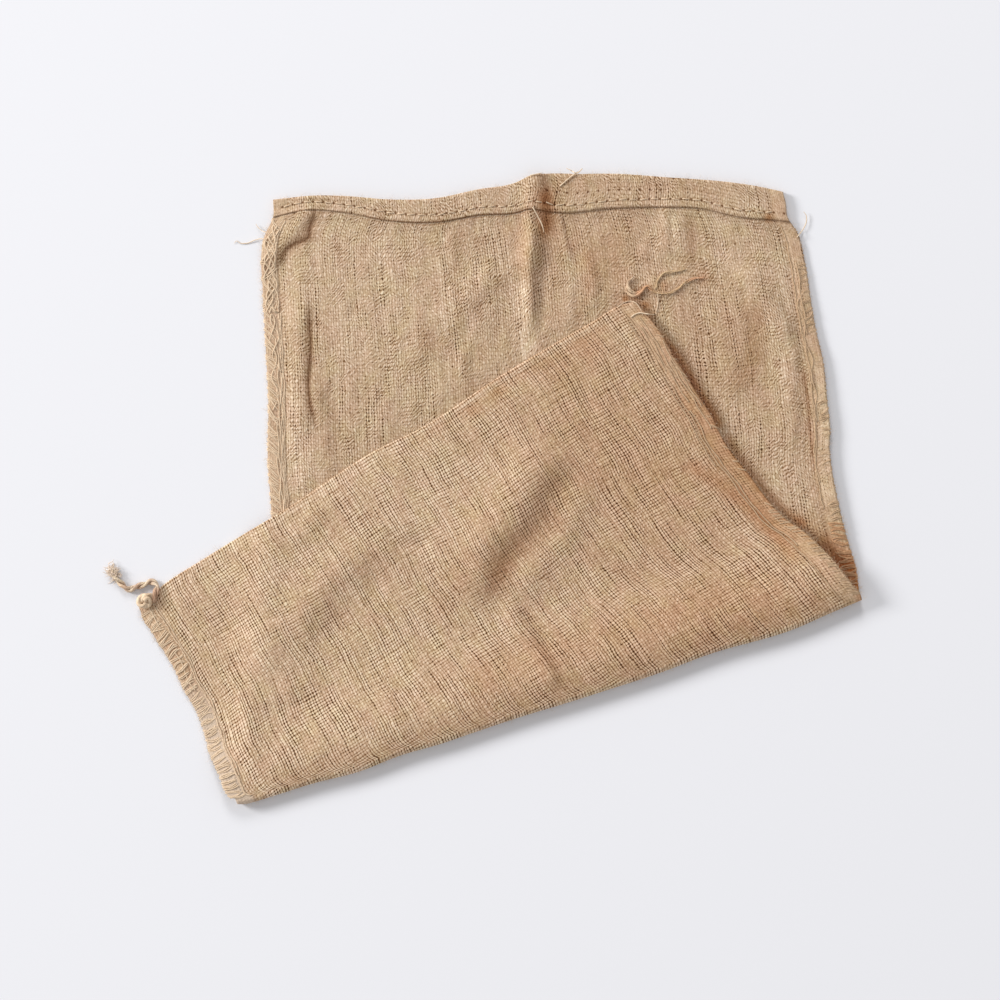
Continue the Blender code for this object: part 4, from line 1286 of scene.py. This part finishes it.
def hem_stitches(hem_row, seed):
    """Running stitches along the hem: each an arch of thread that dips in at its ends."""
    random = np.random.default_rng(seed)
    first, last = np.interp(hem_row[:2], ACROSS, mouth_run) / HEM_STITCH
    starts = np.arange(np.ceil(first), np.floor(last)) * HEM_STITCH
    count = len(starts)
    t = np.linspace(0.0, 1.0, 9)
    reach = HEM_STITCH * (1 - HEM_GAP) * random.uniform(0.9, 1.05, (count, 1))
    u = np.interp(starts[:, None] + reach * t, mouth_run, ACROSS)
    rise = row_rise(hem_row, u)
    rise = rise + random.normal(0.0, 0.2, (count, 1))
    rise = rise + random.normal(0.0, 0.7, (count, 1)) * (t - 0.5)
    routes = front_hem(u, smooth_table(HEM_WIDTH, u) - rise)
    routes[..., 2] += SHEET / 2 - 0.5 + 1.05 * np.sin(np.pi * t) ** 0.6
    radii = HEM_THREAD / 2 * random.uniform(0.85, 1.1, (count, 1)) * np.ones_like(t)
    return strands(routes, radii, 6)


add_strands("hem_stitches", hem_stitches(HEM_ROWS[0], 30), sewing_finish)

# Loose threads: ends of sewing yarn and single fibres that hang out of the seams and the hem,
# a loop wrapped round the left corner, and the frayed fibres along every edge.
THREADS = (  # thickness, route of (x, y, height above what lies there)
    (0.7, (
        (-183, 194.5, 0.6), (-189.2, 198.8, 1.4), (-195, 198, 1.2), (-201, 195.6, 0.6),
        (-207, 195.6, 0.5), (-210, 197.4, 0.8), (-211.8, 195.4, 0.8))),
    (0.6, ((-183, 202.6, 0.6), (-188, 204.6, 1.6), (-192, 207.4, 1.6), (-194.6, 211, 1.4))),
    (0.8, (
        (238, 200, 0.5), (241.6, 204.4, 1.6), (244.2, 208.4, 2), (245.8, 213, 1.8), (245.4, 218, 2),
        (243.4, 220.6, 2.4))),
    (1.1, (
        (105.5, 136.2, 0.3), (108.8, 138.4, 0.6), (112.4, 139.4, 0.6), (117.6, 138.6, 0.8),
        (124.4, 138.2, 0.5))),
    (0.6, (
        (95, 144, 0.2), (99, 147.2, 0.4), (104.6, 149, 0.4), (109.4, 147, 0.4), (112.6, 142.6, 0.4),
        (114.8, 137, 0.3))),
    (0.7, ((126.4, 156, 1), (127, 149.4, 0.6), (126.4, 144, 0.5), (125, 138.4, 0.4))),
    (1, ((48.4, 240.4, 0.4), (52, 243.6, 0.8), (58, 248.6, 1), (63.4, 252.4, 1.2))),
    (0.8, ((66.4, 254.6, 6.6), (62, 250.8, 1), (57, 253.4, 6.8), (53.6, 255, 6.4))),
    (0.7, ((24.8, 249, 0.6), (30, 250, 0.9), (35, 251, 0.8))),
    (1, ((26.8, 223.6, 0.5), (31, 216.2, 0.9), (34.4, 209.4, 0.8), (36, 203.6, 0.5))),
    (0.8, ((-282, -93, 0.4), (-278, -99, 0.5), (-274.4, -106, 0.5), (-270, -114, 0.3))))
WRAP = (6.8, (  # thickness and route likewise, but with heights above the ground
    (-275.5, -87.5, 5.6), (-279, -86, 6.4), (-283, -86.6, 6.6), (-286, -89.6, 6), (-286.4, -93.2, 5),
    (-283.4, -94.6, 4.8), (-280.2, -92.2, 6), (-280.6, -88.8, 7.4), (-283.4, -90.4, 8)))

top_points = np.concatenate([rows.reshape(-1, 3) for rows in (top_rows, rest_rows, hem_rows)])


def cloth_top(points):
    """Height of the highest cloth within 2.6 mm of each point in plan, or 0 beside the bag."""
    apart = np.linalg.norm(top_points[None, :, :2] - points[:, None, :2], axis=-1)
    return np.where(apart < 2.6, top_points[None, :, 2] + SHEET / 2, 0.0).max(axis=1)


thread_parts = []
for thickness, route in THREADS:
    points = smooth_route(route, 0.8)
    points[:, 2] += np.convolve(np.pad(cloth_top(points), 2, mode="edge"), np.full(5, 0.2), "valid")
    radii = thickness / 2 * np.interp(np.linspace(0, 1, len(points)), (0, 0.75, 1), (1, 1, 0.45))
    thread_parts.append(strands(points[None], radii[None], 7))
points = smooth_route(WRAP[1], 0.7)
radii = WRAP[0] / 2 * np.interp(np.linspace(0, 1, len(points)), (0, 0.3, 1), (0.6, 1, 0.95))
wrap = strands(points[None], radii[None], 16, plies=2, lay=24.0)
add_strands("corner_wrap", wrap, sewing_finish)
loose_finish = yarn_finish("loose_thread", (0.46, 0.33, 0.22), (0.90, 0.74, 0.56))
add_strands("loose_threads", joined(thread_parts), loose_finish)


def edge_fibres(count, seed):
    """Starts and outward ways of fibres along the visible edges of the lying bag."""
    random = np.random.default_rng(seed)
    starts, ways = [], []
    for name in SEAMS:
        side, wall, first, last = SEAMS[name][:4]
        along = random.uniform(first - 8, last + 4, count)
        points = seam_surface(side, wall, np.zeros(count), along)
        points[:, 2] -= random.uniform(0.2, 1.6, count)
        starts.append(points)
        ways.append(np.append(SEAM_OUTWARD[side, wall], 0.1) + random.normal(0.0, 0.55, (count, 3)))
    u = random.uniform(0.01, 0.99, count)
    end = np.append(END_OUTWARD, 0.15)
    closed = turned_top(u, np.ones(count)) + end * (1.2, 1.2, 0.0)
    mouth = np.concatenate([edge_point("mouth", u), random.uniform(2.0, 5.4, (count, 1))], axis=1)
    fold = np.concatenate([edge_point("fold", u), random.uniform(2.0, 8.0, (count, 1))], axis=1)
    folded = np.append(FOLD_OUTWARD, 0.1)
    for points, way in ((closed, end), (mouth, np.array((0.0, 1.0, 0.1))), (fold, folded)):
        starts.append(points)
        ways.append(way + random.normal(0.0, 0.55, (count, 3)))
    return np.concatenate(starts), unit(np.concatenate(ways))


def surface_fibres(count, seed):
    """Starts and ways of short fibres that stand off the upper faces."""
    random = np.random.default_rng(seed)
    u = random.uniform(0.02, 0.98, count)
    top = turned_top(u, random.uniform(0.02, 0.99, count))
    front = front_wall(u, random.uniform(0.02, 0.98, count) * wall_length(u))
    seen = outside_turned(front[:, :2]) > 2
    starts = np.concatenate([top, front[seen]])
    starts[:, 2] += SHEET / 2
    ways = random.normal(0.0, 1.0, starts.shape) * (1.0, 1.0, 0.25) + (0.0, 0.0, 0.35)
    return starts, unit(ways)


FRINGE, LINT = 110, 1500  # how many fibres stand off each edge, and are tried on each upper face
fringe_starts, fringe_ways = edge_fibres(FRINGE, 41)
spread = np.random.default_rng(42)
fringe_lengths = spread.uniform(1.0, 4.2, len(fringe_starts)) ** 1.1
fringe = hairs(fringe_starts, fringe_ways, fringe_lengths, 0.15, 0.085, 43)
lint_starts, lint_ways = surface_fibres(LINT, 44)
lint = hairs(lint_starts, lint_ways, spread.uniform(1.5, 5.5, len(lint_starts)), 0.30, 0.075, 45)
for routes, radii in (fringe, lint):
    routes[..., 2] = np.maximum(routes[..., 2], 0.25)
fibres = joined([strands(*fringe, 3), strands(*lint, 3)])
add_strands("loose_fibres", fibres, loose_finish, "hessian")

# The ground it lies on: a plain pale board. The light is the soft one of two wide windows, to
# the left of the bag and beyond its mouth, with an even fill from all round.
FLOOR_HALF = 6.0
floor_mesh = bpy.data.meshes.new("floor")
floor_corners = [(x * FLOOR_HALF, y * FLOOR_HALF, 0) for x, y in ((-1, -1), (1, -1), (1, 1), (-1, 1))]
floor_mesh.from_pydata(floor_corners, [], [(0, 1, 2, 3)])
floor_finish, _, floor_shader = new_finish("pale_board", 0.7)
floor_shader.inputs["Base Color"].default_value = (0.792, 0.806, 0.860, 1.0)
floor_mesh.materials.append(floor_finish)
floor = bpy.data.objects.new("floor", floor_mesh)
bpy.context.scene.collection.objects.link(floor)

WINDOW_DISTANCE = 10.0  # metres
WINDOWS = (  # name, way towards it, width in metres, watts
    ("west_window", (-0.852, 0.310, 0.423), 3.15, 843.0),
    ("north_window", (-0.102, 0.832, 0.545), 3.6, 352.0),
)
for window_name, towards, width, watts in WINDOWS:
    window_data = bpy.data.lights.new(window_name, "AREA")
    window_data.shape = "DISK"
    window_data.size = width
    window_data.energy = watts
    window_data.color = (1.0, 0.985, 0.96)
    window = bpy.data.objects.new(window_name, window_data)
    light_way = Vector(towards).normalized()
    window.location = light_way * WINDOW_DISTANCE
    window.rotation_euler = light_way.to_track_quat("Z", "Y").to_euler()
    bpy.context.scene.collection.objects.link(window)

world = bpy.data.worlds.new("room")
bpy.context.scene.world = world
world.use_nodes = True
world.node_tree.nodes["Background"].inputs["Color"].default_value = (1.0, 0.98, 0.955, 1.0)
world.node_tree.nodes["Background"].inputs["Strength"].default_value = 0.55
bpy.context.scene.view_settings.view_transform = "Standard"
